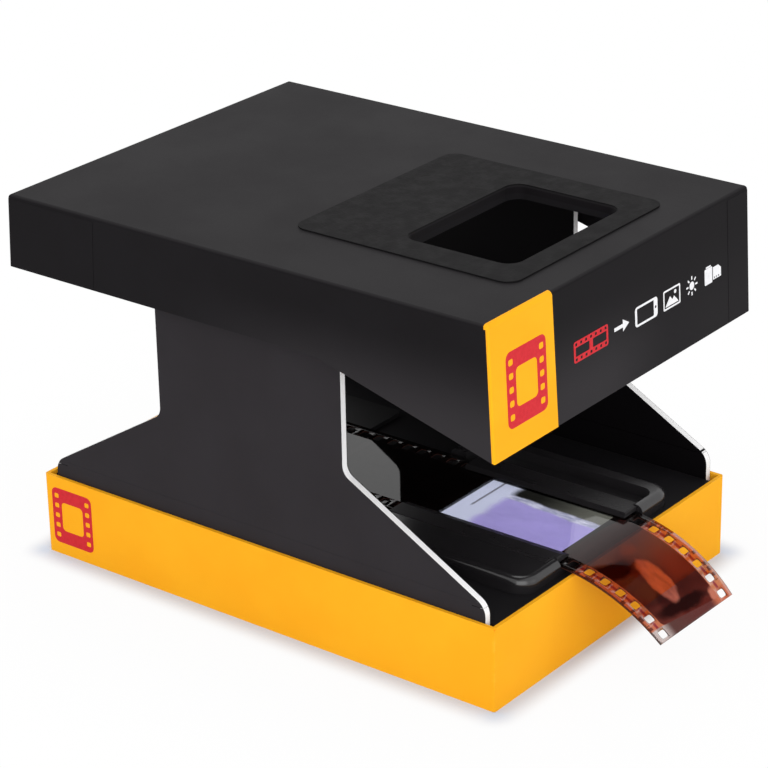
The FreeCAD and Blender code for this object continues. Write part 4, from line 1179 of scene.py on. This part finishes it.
def dress_nodes(nodes):
    """Gives every carried-over node its finish."""
    _, base = corners_mm("base_tray")
    lid_low, lid_high = corners_mm("lid_shell")
    left_low, _ = corners_mm("left_side_panel")
    low, high = corners_mm("right_side_panel")
    panel = panel_board((low.x + high.x) / 2, (high.x - low.x) / 2, (left_low.z, low.z), -low.y)
    yellow = base_board(base.x, base.y, base.z)
    black = lid_board(lid_high.x, -lid_low.y, lid_low.z, lid_high.z)
    inner = plain_paper("inner_board_black", INNER_BLACK, INNER_BLACK_WORN, INNER_BLACK_MOTTLED, 0.62, 0.075)
    accent = plain_paper("accent_yellow_wrap", YELLOW, YELLOW_PALE, YELLOW_DEEP, 0.44, 0.035)
    steel = metal("screw_steel", (0.50, 0.50, 0.50), (0.34, 0.33, 0.31), 0.32)
    nickel = metal("contact_nickel", (0.62, 0.60, 0.56), (0.42, 0.39, 0.33), 0.28)
    red = wire_sheath("wire_red", (0.50, 0.012, 0.012), (0.40, 0.010, 0.010))
    dark = wire_sheath("wire_black", (0.012, 0.012, 0.012), (0.02, 0.02, 0.02))
    plastics = (
        ("tray_plastic_black", PLASTIC_BLACK, PLASTIC_BLACK_WORN, 0.20, 0.65, 0.004, ["film_tray"]),
        ("cover_plastic_black", COVER_BLACK, COVER_BLACK_WORN, 0.52, 0.12, 0.008, ["battery_cover"]),
        ("guide_plastic_black", PLASTIC_BLACK, PLASTIC_BLACK_WORN, 0.28, 0.12, 0.004,
         ["left_film_guide", "right_film_guide"]),
        ("holder_plastic_black", (0.016, 0.016, 0.018), (0.03, 0.03, 0.03), 0.42, 0.5, 0.02,
         ["battery_holder"]),
        ("switch_plastic_black", (0.012, 0.012, 0.013), (0.03, 0.03, 0.03), 0.36, 0.5, 0.01,
         ["switch_body", "switch_bezel"]),
        ("slider_plastic_grey", (0.10, 0.10, 0.11), (0.17, 0.17, 0.18), 0.34, 0.5, 0.01, ["switch_slider"]),
    )
    finishes = [(moulded_plastic(*values), names) for *values, names in plastics]
    finishes += [
        (yellow, ["base_tray"]),
        (inner, ["deck_panel", "deck_risers", "lid_liner", "left_lid_rail", "right_lid_rail"]),
        (panel, ["left_hinge_strip", "right_hinge_strip", "left_side_panel", "right_side_panel"]),
        (black, ["lid_shell"]),
        (accent, ["accent_strip"]),
        (rubber_pad(), ["phone_pad"]),
        (diffuser_plastic(), ["diffuser"]),
        (reflective_white(), ["light_box", "reflector"]),
        (steel, ["tray_screws", "board_screws", "switch_screws"]),
        (circuit_board(), ["led_board"]),
        (led_package(), ["leds"]),
        (resistor_body(), ["board_resistors"]),
        (battery_sleeve(), ["front_battery_cell", "back_battery_cell"]),
        (nickel, ["plate_contacts", "spring_contacts"]),
        (red, ["wire_positive", "wire_switched"]),
        (dark, ["wire_negative"]),
    ]
    for material, names in finishes:
        for name in names:
            slots = nodes[name].data.materials
            for index in range(len(slots)):
                slots[index] = material
    return panel, yellow, black


def main():
    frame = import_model()
    bpy.context.scene.view_settings.view_transform = "Standard"
    add_camera()
    panel, yellow, black = dress_nodes(frame["nodes"])
    add_film(film_base(), film_edge())
    red = printed_ink("ink_red", MARK_RED, MARK_RED_DEEP)
    white = printed_ink("ink_white", MARK_WHITE, MARK_WHITE_DEEP)
    add_marks(red, white)
    add_lid_seams(black)
    add_lid_turn_ins(black)
    add_base_seam(yellow)
    add_crease_flaps(panel)
    add_floor()
    add_sky()
    add_lamps()


main()
